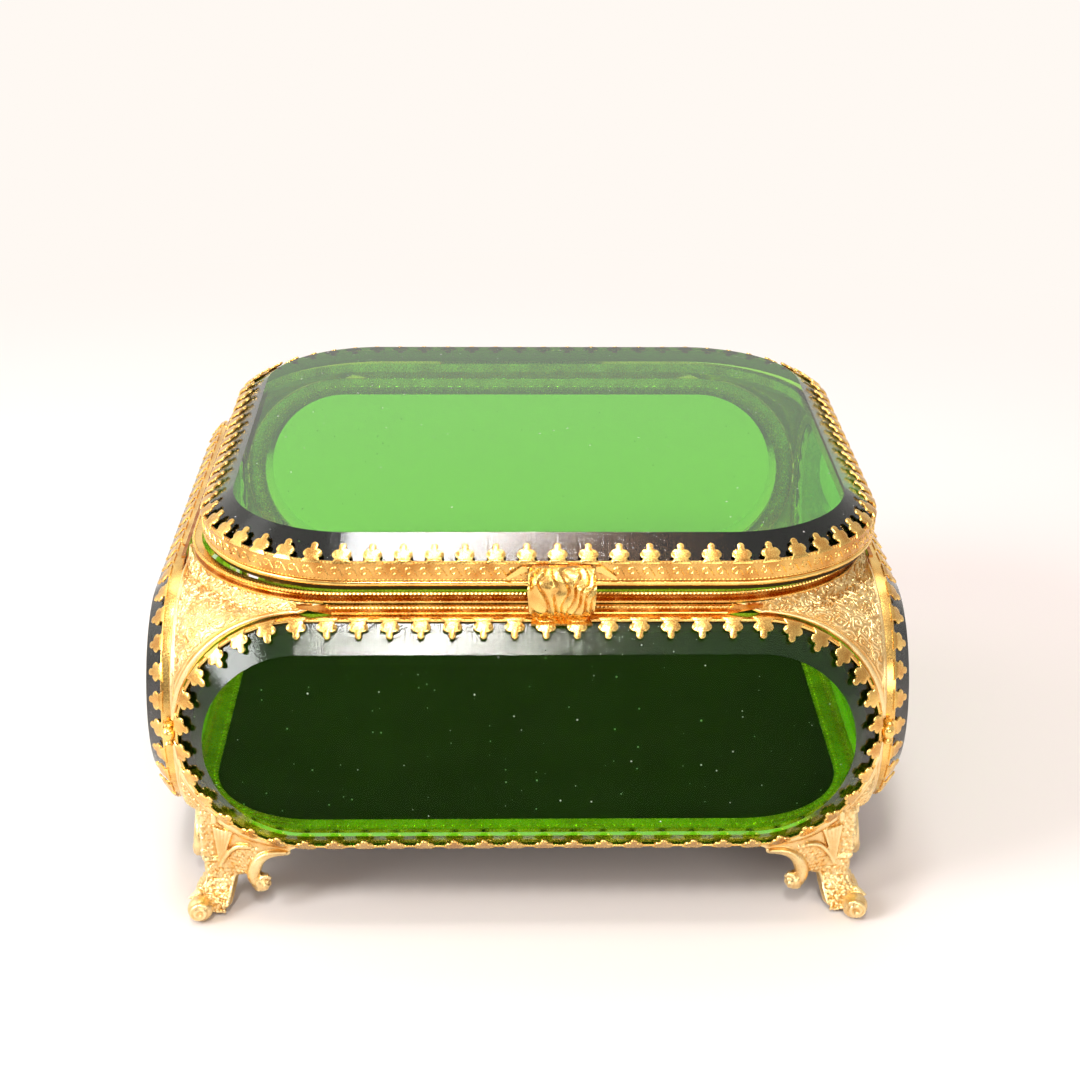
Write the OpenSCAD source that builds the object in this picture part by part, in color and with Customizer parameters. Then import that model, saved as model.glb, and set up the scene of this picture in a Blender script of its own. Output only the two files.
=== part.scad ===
// Glass casket box: bevelled green glass walls and lid held in gilt metal, over a base panel
// covered in dark velvet, on four scrolled feet.
// The origin is the centre of the footprint, on the surface that the casket stands on.
// +X is to the right, -Y is the front with the clasp, +Z is up.

/* [Body] */
// Width between the outer faces of the side walls
body_w = 153; // [135:1:190]
// Depth between the outer faces of the front and back walls
body_d = 145; // [127:1:180]
// Height of a wall panel bezel, edge to edge
panel_h = 54.6; // [46:0.2:66]
// Thickness of the wall sheet
sheet_t = 0.8; // [0.6:0.1:1]
// Distance from the end of a bezel to the corner of the body
corner_margin = 1; // [0.9:0.1:1.4]
// Roundness of the gallery rim and the lid at their corners
corner_r = 35; // [30:1:38]
// How far the gallery rim stands in from the side walls
rim_inset_x = 1.5; // [1:0.1:3]
// How far the gallery rim stands in from the front and back walls
rim_inset_y = 0.5; // [0.4:0.1:2]
// Height of the gallery rim
rim_h = 2.5; // [2:0.1:4]
// Width of the gallery rim
rim_wall = 2.2; // [1.8:0.1:3]
// Height of the stamped strips between the bezels and the gallery rim
strip_h = 2.2; // [2:0.1:4]

/* [Glass] */
// Thickness of the wall glass
wall_glass_t = 6.3; // [5:0.1:8]
// Thickness of the wall glass at its edge
wall_edge_t = 1.8; // [1.4:0.1:2.4]
// Width of the bevel on the wall glass
wall_bevel_w = 5.3; // [4.6:0.1:8]
// Thickness of the lid glass
lid_glass_t = 6.1; // [5:0.1:8]
// Thickness of the lid glass at its edge
lid_edge_t = 1.9; // [1.4:0.1:2.4]
// Width of the bevel on the lid glass
lid_bevel_w = 6.2; // [5:0.1:9]
// Thickness of the base panel
base_panel_t = 3; // [2.4:0.1:4]
// Width of the wall flange that each wall glass rests against
seat_w = 4.6; // [3.6:0.1:6]

/* [Bezels] */
// Thickness of the bezel metal
lip_t = 0.6; // [0.5:0.05:0.8]
// Distance from prong to prong
prong_pitch = 6.5; // [5.5:0.1:8]
// Width of a prong
prong_w = 3.4; // [2.6:0.1:4]
// Length of a prong along the bevel
prong_len = 4.4; // [3.4:0.1:4.6]
// Thickness of a prong
prong_t = 0.45; // [0.4:0.05:0.6]

/* [Lid] */
// Gap between the gallery rim and the closed lid
lid_gap = 1.2; // [0.8:0.1:2]
// How far the lid sits to the right of the body
lid_shift = 2.5; // [0:0.1:3]
// Diameter of the plain wire under the lid bezel
lid_wire_d = 1.3; // [1:0.1:2]
// Height of the bezel band below the lid glass
lid_band_drop = 2; // [1.4:0.1:3]

/* [Clasp] */
// Width of the clasp tab
clasp_w = 14.4; // [10:0.2:20]
// Thickness of the clasp metal
clasp_t = 0.8; // [0.6:0.1:1.2]
// How far the clasp sits to the right of the middle of the lid
clasp_offset = 4; // [0:0.5:8]
// How far the clasp bows out
clasp_bow = 3; // [2:0.1:4]
// Distance from the lid wire down to where the clasp catches
clasp_drop = 4.6; // [4.4:0.1:5]
// Length of the turned-out finger lip of the clasp
clasp_lip = 4; // [3:0.1:6]

/* [Hinge] */
// Length of the hinge
hinge_len = 44; // [30:1:60]
// Outer diameter of the hinge knuckles
knuckle_d = 3.4; // [3:0.1:4.4]
// Diameter of the hinge pin
hinge_pin_d = 1.6; // [1.4:0.1:2]
// Thickness of the hinge leaves
leaf_t = 0.7; // [0.5:0.1:1]

/* [Base and feet] */
// Height from the floor to the underside of the base frame
foot_h = 16.5; // [12:0.5:24]
// Height of the base frame
base_h = 4; // [3.6:0.1:6]
// How far the bezels hang above the underside of the base frame
panel_lift = 1.6; // [1:0.1:2.4]
// Width of the base frame
base_w = 4.6; // [4:0.1:7]
// How far the lower part of the base frame draws in
base_draw = 2.6; // [2.2:0.1:3]
// Thickness of the cast feet
foot_t = 2; // [1.6:0.1:2.2]
// Length of a foot along each wall
foot_len = 27; // [24:0.5:27.5]
// Radius of the toe
toe_r = 3.3; // [2.6:0.1:4.4]
// Radius of the scroll arm under a foot's wing
arm_r = 1.35; // [1:0.05:1.8]
// Radius of the ball at the end of a scroll arm
ball_r = 2.1; // [1.6:0.1:3]

/* [Hidden] */
$fn = 64;

// Clearances
glass_gap = 0.3;
seat_gap = 0.2;
solder_gap = 0.2;
pin_gap = 0.04;
knuckle_gap = 0.25;
knuckle_play = 0.1;
catch_gap = 0.3;

// How far shapes of one piece run into each other where they join
join = 0.2;

// Walls and panels
wall_x = body_w / 2;
wall_y = body_d / 2;
panel_r = panel_h / 2;
panel_z = foot_h + panel_lift + panel_r;
front_len = body_w - 2 * corner_margin;
side_len = body_d - 2 * corner_margin;
arc_in = corner_margin + panel_r;
opening_r = panel_r - seat_w;
glass_r = panel_r - lip_t - glass_gap;
bevel_angle = atan((wall_glass_t - wall_edge_t) / wall_bevel_w);
lip_over = 0.6;
lip_z = seat_gap + wall_edge_t + lip_over;

// Rim and strips
rim_x = wall_x - rim_inset_x;
rim_y = wall_y - rim_inset_y;
strip_z = panel_z + panel_r + solder_gap;
rim_z = strip_z + strip_h + solder_gap;
rim_top = rim_z + rim_h;
strip_gap = 1.5;
strip_bead_d = 0.8;
strip_bead_z = strip_z + strip_h - 0.5;

// Lid stack
wire_z = rim_top + lid_gap;
band_z = wire_z + lid_wire_d + 0.1;
lid_glass_z = band_z + lid_band_drop;
ledge_t = 0.6;
ledge_w = 3;
lid_top = lid_glass_z + lid_glass_t;
lid_bevel_angle = atan((lid_glass_t - lid_edge_t) / lid_bevel_w);
lid_lip_z = lid_glass_z + lid_edge_t + lip_over;

// Hinge
hinge_y = rim_y + 0.6 + knuckle_d / 2;
hinge_z = rim_top + lid_gap / 2;
lid_leaf_y = rim_y + 0.3;
body_leaf_y = wall_y + solder_gap;
knuckles = 5;
pin_end = 0.4;
knuckle_len = hinge_len / knuckles;

// Base
base_x = wall_x - sheet_t - solder_gap;
base_y = wall_y - sheet_t - solder_gap;
base_r = corner_r - 2;
base_ledge_t = 0.8;
base_step = base_h / 2;
base_rabbet = 3.2;

// Feet, measured inwards from the corner where the two wall faces would meet
wing_in = 1;
wing_start = 3;
wing_gap = 0.3;
wing_top = foot_h + 9;
frame_in = sheet_t + solder_gap + base_r
           - sqrt(pow(base_r, 2) - pow(base_r + sheet_t - wing_in - foot_t, 2));
leg_in = 5.2;
leg_z = foot_h - 6.5;
leg_d = 7.4;
leg_ring = 3;
ridge_in = wing_start + 0.6;
toe_in = 2.3;
toe_out = 2.6;
toe_flat = 0.35;
scroll_in = 14.7;
scroll_r = 3.2;
scroll_z = foot_h - 6.9;
lug_in = 13;
lug_r = 5;
lug_t = 1.8;

gold = [0.85, 0.66, 0.33];
pale_gold = [0.9, 0.76, 0.48];
glass_green = [0.2, 0.55, 0.16, 0.6];
velvet = [0.2, 0.18, 0.16];

// A rectangle with round corners, by its half sizes
module rounded_rect(hx, hy, r) {
    square([2 * (hx - r), 2 * hy], center = true);
    square([2 * hx, 2 * (hy - r)], center = true);
    for (sx = [-1, 1], sy = [-1, 1])
        translate([sx * (hx - r), sy * (hy - r)]) circle(r);
}

// A flat oval: a rectangle with half-round ends
module oval(half_len, r) {
    square([2 * (half_len - r), 2 * r], center = true);
    for (s = [-1, 1])
        translate([s * (half_len - r), 0]) circle(r);
}

// A ring that carries the profile of its children round a rounded rectangle.
// In the profile, x is measured outwards from the rectangle and y is the height.
module swept_ring(hx, hy, r) {
    for (side = [0 : 3]) {
        across = side % 2 == 0 ? hy : hx;
        run = side % 2 == 0 ? hx - r : hy - r;
        rotate([0, 0, 90 * side])
            translate([run, -across, 0])
                rotate([90, 0, -90])
                    linear_extrude(2 * run) children();
        rotate([0, 0, 90 * side])
            translate([run, -(across - r), 0])
                rotate([0, 0, -90])
                    rotate_extrude(angle = 90) translate([r, 0]) children();
    }
}

// A slab whose upper edge is ground to a bevel, round corners
module bevelled_slab(hx, hy, r, t, edge_t, bevel_w) {
    linear_extrude(edge_t) rounded_rect(hx, hy, r);
    for (s = [0, 1]) {
        half = s == 0 ? hx : hy;
        run = s == 0 ? hy - r : hx - r;
        rotate([90, 0, 90 * s])
            translate([0, 0, -run])
                linear_extrude(2 * run)
                    polygon([[-half, edge_t], [half, edge_t], [half - bevel_w, t], [bevel_w - half, t]]);
    }
    for (sx = [-1, 1], sy = [-1, 1])
        translate([sx * (hx - r), sy * (hy - r), edge_t])
            cylinder(r1 = r, r2 = r - bevel_w, h = t - edge_t);
}

// The point and the outward direction at a distance along a rounded rectangle
function rect_at(s, hx, hy, r) =
    let(a = hx - r, b = hy - r, q = PI * r / 2,
        side = 2 * a + 2 * b + 2 * q,
        k = s >= side ? 1 : 0, t = s - k * side)
    let(p = t < 2 * a ? [-a + t, -hy, -90]
          : t < 2 * a + q ? let(w = -90 + 90 * (t - 2 * a) / q) [a + r * cos(w), -b + r * sin(w), w]
          : t < 2 * a + q + 2 * b ? [hx, -b + t - 2 * a - q, 0]
          : let(w = 90 * (t - 2 * a - q - 2 * b) / q) [a + r * cos(w), b + r * sin(w), w])
    k == 0 ? p : [-p[0], -p[1], p[2] + 180];

// Prongs bent over the bevel, all round a rounded rectangle whose faces look along +Z
module prong_row(hx, hy, r, z, angle) {
    length = 4 * (hx + hy - 2 * r) + 2 * PI * r;
    count = 2 * round(length / prong_pitch / 2);
    for (i = [0 : count - 1]) {
        p = rect_at((i + 0.5) * length / count, hx, hy, r);
        translate([p[0], p[1], z])
            rotate([0, 0, p[2] + 180])
                translate([lip_t, 0, -prong_t])
                    rotate([0, -angle, 0])
                        translate([-lip_t, -prong_w / 2, 0]) cube([prong_len + lip_t, prong_w, prong_t]);
    }
}

// Turns a panel drawn face up in XY so that it stands in a wall
module in_wall(turn) {
    out = turn % 180 == 0 ? wall_y : wall_x;
    rotate([0, 0, turn]) translate([0, -out, panel_z]) rotate([90, 0, 0]) children();
}

// Wall bezel: a flange with an oval opening, a lip round the glass and the prongs
module wall_bezel(len) {
    color(gold) {
        translate([0, 0, -sheet_t]) linear_extrude(sheet_t) difference() {
            oval(len / 2, panel_r);
            oval(len / 2 - seat_w, opening_r);
        }
        translate([0, 0, -sheet_t / 2]) linear_extrude(lip_z + sheet_t / 2) difference() {
            oval(len / 2, panel_r);
            oval(len / 2 - lip_t, panel_r - lip_t);
        }
        prong_row(len / 2, panel_r, panel_r, lip_z, bevel_angle);
    }
}

// Wall glass: a thick oval plate with a bevel ground all round its face
module wall_glass(len) {
    half = len / 2 - lip_t - glass_gap;
    color(glass_green) translate([0, 0, seat_gap]) {
        linear_extrude(wall_edge_t) oval(half, glass_r);
        rotate([90, 0, 90]) translate([0, 0, glass_r - half]) linear_extrude(2 * (half - glass_r))
            polygon([[-glass_r, wall_edge_t], [glass_r, wall_edge_t],
                     [glass_r - wall_bevel_w, wall_glass_t], [wall_bevel_w - glass_r, wall_glass_t]]);
        for (s = [-1, 1])
            translate([s * (half - glass_r), 0, wall_edge_t])
                cylinder(r1 = glass_r, r2 = glass_r - wall_bevel_w, h = wall_glass_t - wall_edge_t);
    }
}

// Stamped strip between a bezel and the gallery rim, with a bead along it.
// The bead stops on both sides of a bare stretch in the middle.
module strip(run, face, bare = 0) {
    color(gold) {
        translate([-run, -face, strip_z]) cube([2 * run, sheet_t, strip_h]);
        translate([0, -face, strip_bead_z]) rotate([0, 90, 0])
            for (s = [0, 1]) mirror([0, 0, s])
                translate([0, 0, bare / 2]) cylinder(d = strip_bead_d, h = run - bare / 2);
    }
}
strip_run_x = rim_x - corner_r + strip_gap;
strip_run_y = rim_y - corner_r + strip_gap;

module front_strip() { strip(strip_run_x, wall_y); }
module back_strip() { rotate([0, 0, 180]) strip(strip_run_x, wall_y, hinge_len + 1); }
module left_strip() { rotate([0, 0, -90]) strip(strip_run_y, wall_x); }
module right_strip() { rotate([0, 0, 90]) strip(strip_run_y, wall_x); }

module front_bezel() { in_wall(0) wall_bezel(front_len); }
module back_bezel() { in_wall(180) wall_bezel(front_len); }
module left_bezel() { in_wall(-90) wall_bezel(side_len); }
module right_bezel() { in_wall(90) wall_bezel(side_len); }

module front_glass() { in_wall(0) wall_glass(front_len); }
module back_glass() { in_wall(180) wall_glass(front_len); }
module left_glass() { in_wall(-90) wall_glass(side_len); }
module right_glass() { in_wall(90) wall_glass(side_len); }

// Gallery rim: a half-round moulding with a bead on its upper edge
module gallery_rim() {
    color(gold) swept_ring(rim_x, rim_y, corner_r) union() {
        translate([-rim_wall, rim_z]) square([rim_wall - rim_h / 2 + join, rim_h]);
        intersection() {
            translate([-rim_h / 2, rim_z + rim_h / 2]) circle(d = rim_h);
            translate([-rim_h / 2, rim_z]) square([rim_h, rim_h]);
        }
    }
}

// A point on a curve between two ends that is pulled towards a corner
function conic(p0, k, p1, w, t) =
    ((1 - t) * (1 - t) * p0 + 2 * w * t * (1 - t) * k + t * t * p1)
    / ((1 - t) * (1 - t) + 2 * w * t * (1 - t) + t * t);

// One level of a corner plate, from the front wall round to the side wall.
// hx and hy are the wall faces, in_front and in_side how far in the level starts, and
// roundness is the radius that it would have if it were a plain arc.
function corner_level(z, hx, hy, in_front, in_side, roundness, t) =
    let(sum = hx + hy,
        reach = sum - 0.586 * roundness,
        w = (2 * sum - in_front - in_side - 2 * reach) / (2 * (reach - sum)),
        p = conic([hx - in_front, hy], [hx, hy], [hx, hy - in_side], w, t))
    [p[0], -p[1], z];

corner_steps = 12;
edge_r = panel_r + solder_gap + 0.06;

// Where a corner plate starts beside the round end of a bezel, at an angle above the middle
function beside_arc(angle) = arc_in - edge_r * cos(angle);

// Angles of the levels, then the two levels that run along the straight edge of the bezel
upper_angles = [6, 14, 24, 34, 44, 54, 64, 73, 82, 90];
plate_top = rim_z - solder_gap;
function upper_row(i, skin) =
    let(n = len(upper_angles),
        angle = i < n ? upper_angles[i] : 90,
        f = min(1, i / n),
        draw_x = rim_inset_x * f * f, draw_y = rim_inset_y * f * f,
        hx = wall_x - draw_x - skin, hy = wall_y - draw_y - skin,
        reach_in = i < n ? beside_arc(angle) : corner_r - strip_gap - 0.4,
        z = i < n ? panel_z + edge_r * sin(angle) : i == n ? panel_z + edge_r + 0.1 : plate_top,
        front = reach_in - draw_x - skin, side = reach_in - draw_y - skin)
    [for (j = [0 : corner_steps])
        corner_level(z, hx, hy, front, side, (1 + 0.16 * f) * (front + side) / 2, j / corner_steps)];

lower_angles = [6, 12, 18, 24, 30, 36, 42];
function lower_row(i, skin) =
    let(angle = lower_angles[i], in_wall = beside_arc(angle) - skin)
    [for (j = [0 : corner_steps])
        corner_level(panel_z - edge_r * sin(angle), wall_x - skin, wall_y - skin,
                     in_wall, in_wall, in_wall, j / corner_steps)];

// Closes an outer and an inner grid of points into one thin plate
module thin_plate(outer, inner, upward) {
    rows = len(outer);
    cols = len(outer[0]);
    points = concat([for (row = outer) each row], [for (row = inner) each row]);
    function at(i, j, side) = (side * rows + i) * cols + j;
    faces = concat(
        [for (i = [0 : rows - 2], j = [0 : cols - 2]) each [
            [at(i, j, 0), at(i + 1, j, 0), at(i + 1, j + 1, 0)],
            [at(i, j, 0), at(i + 1, j + 1, 0), at(i, j + 1, 0)],
            [at(i, j, 1), at(i + 1, j + 1, 1), at(i + 1, j, 1)],
            [at(i, j, 1), at(i, j + 1, 1), at(i + 1, j + 1, 1)]]],
        [for (i = [0 : rows - 2]) each [
            [at(i, 0, 0), at(i, 0, 1), at(i + 1, 0, 1)],
            [at(i, 0, 0), at(i + 1, 0, 1), at(i + 1, 0, 0)],
            [at(i, cols - 1, 0), at(i + 1, cols - 1, 1), at(i, cols - 1, 1)],
            [at(i, cols - 1, 0), at(i + 1, cols - 1, 0), at(i + 1, cols - 1, 1)]]],
        [for (j = [0 : cols - 2]) each [
            [at(0, j, 0), at(0, j + 1, 1), at(0, j, 1)],
            [at(0, j, 0), at(0, j + 1, 0), at(0, j + 1, 1)],
            [at(rows - 1, j, 0), at(rows - 1, j, 1), at(rows - 1, j + 1, 1)],
            [at(rows - 1, j, 0), at(rows - 1, j + 1, 1), at(rows - 1, j + 1, 0)]]]);
    polyhedron(points, upward ? faces : [for (f = faces) [f[2], f[1], f[0]]]);
}

plate_t = 0.6;
module upper_corner() {
    levels = len(upper_angles) + 1;
    color(pale_gold) thin_plate([for (i = [0 : levels]) upper_row(i, 0)],
                                [for (i = [0 : levels]) upper_row(i, plate_t)], true);
}
module lower_corner() {
    levels = len(lower_angles) - 1;
    color(pale_gold) thin_plate([for (i = [0 : levels]) lower_row(i, 0)],
                                [for (i = [0 : levels]) lower_row(i, plate_t)], false);
}

module front_right_corner() { upper_corner(); }
module front_left_corner() { mirror([1, 0, 0]) upper_corner(); }
module back_right_corner() { mirror([0, 1, 0]) upper_corner(); }
module back_left_corner() { mirror([1, 0, 0]) mirror([0, 1, 0]) upper_corner(); }
module front_right_lower_corner() { lower_corner(); }
module front_left_lower_corner() { mirror([1, 0, 0]) lower_corner(); }
module back_right_lower_corner() { mirror([0, 1, 0]) lower_corner(); }
module back_left_lower_corner() { mirror([1, 0, 0]) mirror([0, 1, 0]) lower_corner(); }

// Small posts with a bead, where the ends of two bezels meet
post_r = 1.1;
bead_r = 1.5;
module corner_posts() {
    half_h = edge_r * sin(upper_angles[0]) - solder_gap;
    stand_off = 0.3 - corner_margin;
    color(gold) for (sx = [-1, 1], sy = [-1, 1]) {
        translate([sx * (wall_x + post_r + stand_off), sy * (wall_y + post_r + stand_off), panel_z - half_h])
            cylinder(r = post_r, h = 2 * half_h);
        translate([sx * (wall_x + bead_r + stand_off), sy * (wall_y + bead_r + stand_off), panel_z])
            sphere(bead_r);
    }
}

// Base frame: a ring that draws in downwards, with a ledge for the base panel
module base_frame() {
    z = foot_h;
    color(gold) swept_ring(base_x, base_y, base_r)
        polygon([[-base_rabbet, z + base_ledge_t], [-base_rabbet, z + base_h], [0, z + base_h],
                 [0, z + base_step], [-base_draw, z + base_step], [-base_draw, z],
                 [-base_w, z], [-base_w, z + base_ledge_t]]);
}

// Base panel on its ledge
module base_panel() {
    edge = base_rabbet + glass_gap;
    color(velvet) translate([0, 0, foot_h + base_ledge_t + seat_gap])
        linear_extrude(base_panel_t)
            rounded_rect(base_x - edge, base_y - edge, base_r - edge);
}

// One wing of a foot, flat in XY: x runs inwards from the body's corner and y is the height.
// Its upper edge follows the round end of the bezel above it, and from where the base frame
// comes close behind the wing it stays below the frame's wide upper part.
module wing_shape() {
    under = panel_r + wing_gap;
    brow = foot_h + base_step;
    difference() {
        polygon([[wing_start, wing_top], [wing_start, leg_z], [leg_in + leg_d / 2, leg_z],
                 [scroll_in - scroll_r, brow - 8], [scroll_in, brow - 5.4], [foot_len - 5, brow - 3.8],
                 [foot_len, brow - 2.4], [foot_len, brow], [frame_in, brow], [frame_in, wing_top]]);
        translate([arc_in, panel_z]) circle(under);
    }
}

// The scroll arm: a bar under the wing that curls round to a ball
module scroll_arm() {
    reach = 2 * scroll_r;
    translate([scroll_in, scroll_z, 0]) rotate([0, 0, 90]) rotate_extrude(angle = 180)
        translate([scroll_r, 0]) circle(arm_r);
    translate([scroll_in, scroll_z + scroll_r, 0]) {
        rotate([0, 90, 0]) cylinder(r = arm_r, h = reach);
        translate([reach, 0, 0]) sphere(arm_r);
    }
    translate([scroll_in + join, scroll_z - scroll_r, 0]) sphere(ball_r);
}

// Puts a wing drawn flat into the plane of the front wall or of the side wall, at a depth behind it
module in_front(depth) {
    translate([wall_x, -wall_y + depth, 0]) mirror([1, 0, 0]) rotate([90, 0, 0]) children();
}
module in_side(depth) {
    translate([wall_x - depth, -wall_y, 0]) rotate([90, 0, 90]) children();
}

// A cast foot under the right front corner: two wings, scroll arms, a lug that is soldered
// under the base frame, a leg and a round toe cut flat
module foot() {
    toe_z = toe_r - toe_flat;
    color(pale_gold) {
        in_front(wing_in + foot_t) linear_extrude(foot_t) wing_shape();
        in_side(wing_in + foot_t) linear_extrude(foot_t) wing_shape();
        in_front(wing_in + foot_t / 2) scroll_arm();
        in_side(wing_in + foot_t / 2) scroll_arm();
        intersection() {
            translate([wall_x, -wall_y, 0]) union() {
                hull() {
                    translate([-ridge_in, ridge_in, wing_top - leg_ring])
                        cylinder(r = ridge_in - wing_in, h = leg_ring, $fn = 24);
                    translate([-leg_in, leg_in, leg_z]) cylinder(d = leg_d, h = leg_ring, $fn = 24);
                }
                hull() {
                    translate([-leg_in, leg_in, leg_z]) cylinder(d = leg_d, h = leg_ring, $fn = 24);
                    translate([-toe_in - 1, 1 - toe_out, toe_z]) sphere(0.8 * toe_r, $fn = 24);
                }
                hull() for (p = [[leg_in, leg_d / 2], [lug_in, lug_r]])
                    translate([-p[0], p[0], foot_h - solder_gap - lug_t])
                        cylinder(r = p[1], h = lug_t, $fn = 32);
                translate([-toe_in, -toe_out, toe_z]) sphere(toe_r);
            }
            translate([0, -2 * wall_y, 0]) cube([2 * wall_x, 2 * wall_y, 2 * wing_top]);
        }
    }
}

module front_right_foot() { foot(); }
module front_left_foot() { mirror([1, 0, 0]) foot(); }
module back_right_foot() { mirror([0, 1, 0]) foot(); }
module back_left_foot() { mirror([1, 0, 0]) mirror([0, 1, 0]) foot(); }

// Lid glass: a thick plate with a bevel ground all round its top
module lid_glass() {
    edge = lip_t + glass_gap;
    color(glass_green) translate([lid_shift, 0, lid_glass_z])
        bevelled_slab(rim_x - edge, rim_y - edge, corner_r - edge, lid_glass_t, lid_edge_t, lid_bevel_w);
}

// Lid bezel: a band with a ledge under the glass and prongs over it
module lid_bezel() {
    color(gold) translate([lid_shift, 0, 0]) {
        translate([0, 0, band_z]) linear_extrude(lid_lip_z - band_z) difference() {
            rounded_rect(rim_x, rim_y, corner_r);
            rounded_rect(rim_x - lip_t, rim_y - lip_t, corner_r - lip_t);
        }
        translate([0, 0, lid_glass_z - seat_gap - ledge_t]) linear_extrude(ledge_t) difference() {
            rounded_rect(rim_x - lip_t / 2, rim_y - lip_t / 2, corner_r - lip_t / 2);
            rounded_rect(rim_x - ledge_w, rim_y - ledge_w, corner_r - ledge_w);
        }
        prong_row(rim_x, rim_y, corner_r, lid_lip_z, lid_bevel_angle);
    }
}

// Plain wire soldered under the lid bezel
module lid_wire() {
    r = lid_wire_d / 2;
    color(gold) translate([lid_shift, 0, wire_z + r])
        swept_ring(rim_x - r, rim_y - r, corner_r - r) circle(r);
}

// Clasp tab: a bowed spring plate that hangs from the lid over the rim, comes back in
// under it and turns out again as a finger lip
clasp_x = lid_shift + clasp_offset;
clasp_top = lid_lip_z - lip_over;
clasp_low = wire_z - clasp_drop;
clasp_inner = wall_y + strip_bead_d / 2 + catch_gap;
module clasp_tab() {
    h = clasp_top - clasp_low;
    bow_r = (h * h / 4 + clasp_bow * clasp_bow) / (2 * clasp_bow);
    mid = (clasp_top + clasp_low) / 2;
    heel = clasp_inner + clasp_t;
    shelf = heel + join - rim_y - seat_gap;
    color(gold) translate([clasp_x - clasp_w / 2, 0, 0]) rotate([90, 0, 90]) linear_extrude(clasp_w)
        union() {
            intersection() {
                translate([bow_r - clasp_bow - heel, mid]) difference() {
                    circle(bow_r);
                    circle(bow_r - clasp_t);
                }
                translate([-heel - 2 * clasp_bow, clasp_low]) square([2 * (clasp_bow + join), h]);
            }
            translate([-heel - join, clasp_top - clasp_t]) square([shelf, clasp_t]);
            translate([-clasp_inner - join, clasp_low - join / 2]) rotate([0, 0, 210])
                translate([0, -clasp_t]) square([clasp_lip, clasp_t]);
        }
}

// Two pointed wings that lie on the lid band beside the clasp
clasp_wing_t = 0.5;
clasp_wing_len = 4;
module clasp_wings() {
    color(gold) for (s = [-1, 1])
        translate([clasp_x + s * (clasp_w / 2 + solder_gap), -rim_y - seat_gap, band_z + clasp_wing_t])
            rotate([90, 0, 0]) linear_extrude(clasp_wing_t)
                polygon([[0, 2.4], [s * 0.8, 2.4], [s * clasp_wing_len, 0.2],
                         [s * (clasp_wing_len - 0.8), -0.2], [0, 1.2]]);
}

// Knuckles of one hinge leaf, along the hinge axis
module knuckle_row(which) {
    for (i = which)
        translate([(i - knuckles / 2) * knuckle_len + knuckle_play, hinge_y, hinge_z])
            rotate([0, 90, 0]) cylinder(d = knuckle_d, h = knuckle_len - 2 * knuckle_play);
}
module hinge_bore() {
    translate([-hinge_len, hinge_y, hinge_z]) rotate([0, 90, 0])
        cylinder(d = hinge_pin_d + 2 * pin_gap, h = 2 * hinge_len);
}
// Room for the other leaf's knuckles to turn in
module knuckle_room(which) {
    for (i = which)
        translate([(i - knuckles / 2) * knuckle_len, hinge_y, hinge_z])
            rotate([0, 90, 0]) cylinder(d = knuckle_d + 2 * knuckle_gap, h = knuckle_len);
}

module lid_hinge_leaf() {
    color(gold) difference() {
        union() {
            translate([-hinge_len / 2, lid_leaf_y, hinge_z + knuckle_d / 4])
                cube([hinge_len, leaf_t, lid_lip_z - lip_over - hinge_z - knuckle_d / 4]);
            knuckle_row([1, 3]);
        }
        hinge_bore();
        knuckle_room([0, 2, 4]);
    }
}
module body_hinge_leaf() {
    color(gold) difference() {
        union() {
            translate([-hinge_len / 2, body_leaf_y, strip_z + leaf_t])
                cube([hinge_len, leaf_t, hinge_z - knuckle_d / 4 - strip_z - leaf_t]);
            knuckle_row([0, 2, 4]);
        }
        hinge_bore();
        knuckle_room([1, 3]);
    }
}
module hinge_pin() {
    length = hinge_len + 2 * pin_end;
    color(pale_gold) translate([-length / 2, hinge_y, hinge_z]) rotate([0, 90, 0])
        cylinder(d = hinge_pin_d, h = length);
}

lid_glass();
lid_bezel();
lid_wire();
clasp_tab();
clasp_wings();
lid_hinge_leaf();
gallery_rim();
front_strip();
back_strip();
left_strip();
right_strip();
front_bezel();
back_bezel();
left_bezel();
right_bezel();
front_glass();
back_glass();
left_glass();
right_glass();
front_left_corner();
front_right_corner();
back_left_corner();
back_right_corner();
front_left_lower_corner();
front_right_lower_corner();
back_left_lower_corner();
back_right_lower_corner();
corner_posts();
base_frame();
base_panel();
front_left_foot();
front_right_foot();
back_left_foot();
back_right_foot();
body_hinge_leaf();
hinge_pin();
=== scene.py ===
import math

import bpy
import numpy as np
from mathutils import Matrix, Vector


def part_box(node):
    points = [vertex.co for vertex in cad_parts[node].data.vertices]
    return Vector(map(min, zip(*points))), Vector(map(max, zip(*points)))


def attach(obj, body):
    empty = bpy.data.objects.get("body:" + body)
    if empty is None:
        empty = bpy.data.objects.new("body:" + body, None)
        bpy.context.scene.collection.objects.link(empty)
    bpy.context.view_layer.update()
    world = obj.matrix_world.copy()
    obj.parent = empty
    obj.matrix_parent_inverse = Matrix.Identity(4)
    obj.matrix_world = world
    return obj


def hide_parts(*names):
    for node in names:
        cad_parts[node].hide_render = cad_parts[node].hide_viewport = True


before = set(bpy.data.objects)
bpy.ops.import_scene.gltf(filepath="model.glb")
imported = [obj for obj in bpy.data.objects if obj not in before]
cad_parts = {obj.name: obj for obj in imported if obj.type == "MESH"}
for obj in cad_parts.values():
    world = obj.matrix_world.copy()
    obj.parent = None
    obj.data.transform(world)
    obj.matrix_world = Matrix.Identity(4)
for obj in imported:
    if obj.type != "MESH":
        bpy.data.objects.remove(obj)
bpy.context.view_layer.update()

bl_info = {
    "name": "Bevelled Glass Casket",
    "version": (1, 0, 0),
    "blender": (4, 5, 0),
    "location": "View3D > Sidebar > Casket",
    "description": "Dresses a square casket of bevelled green glass held in gilt metal",
    "category": "Add Mesh",
}

MM = 0.001


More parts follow.
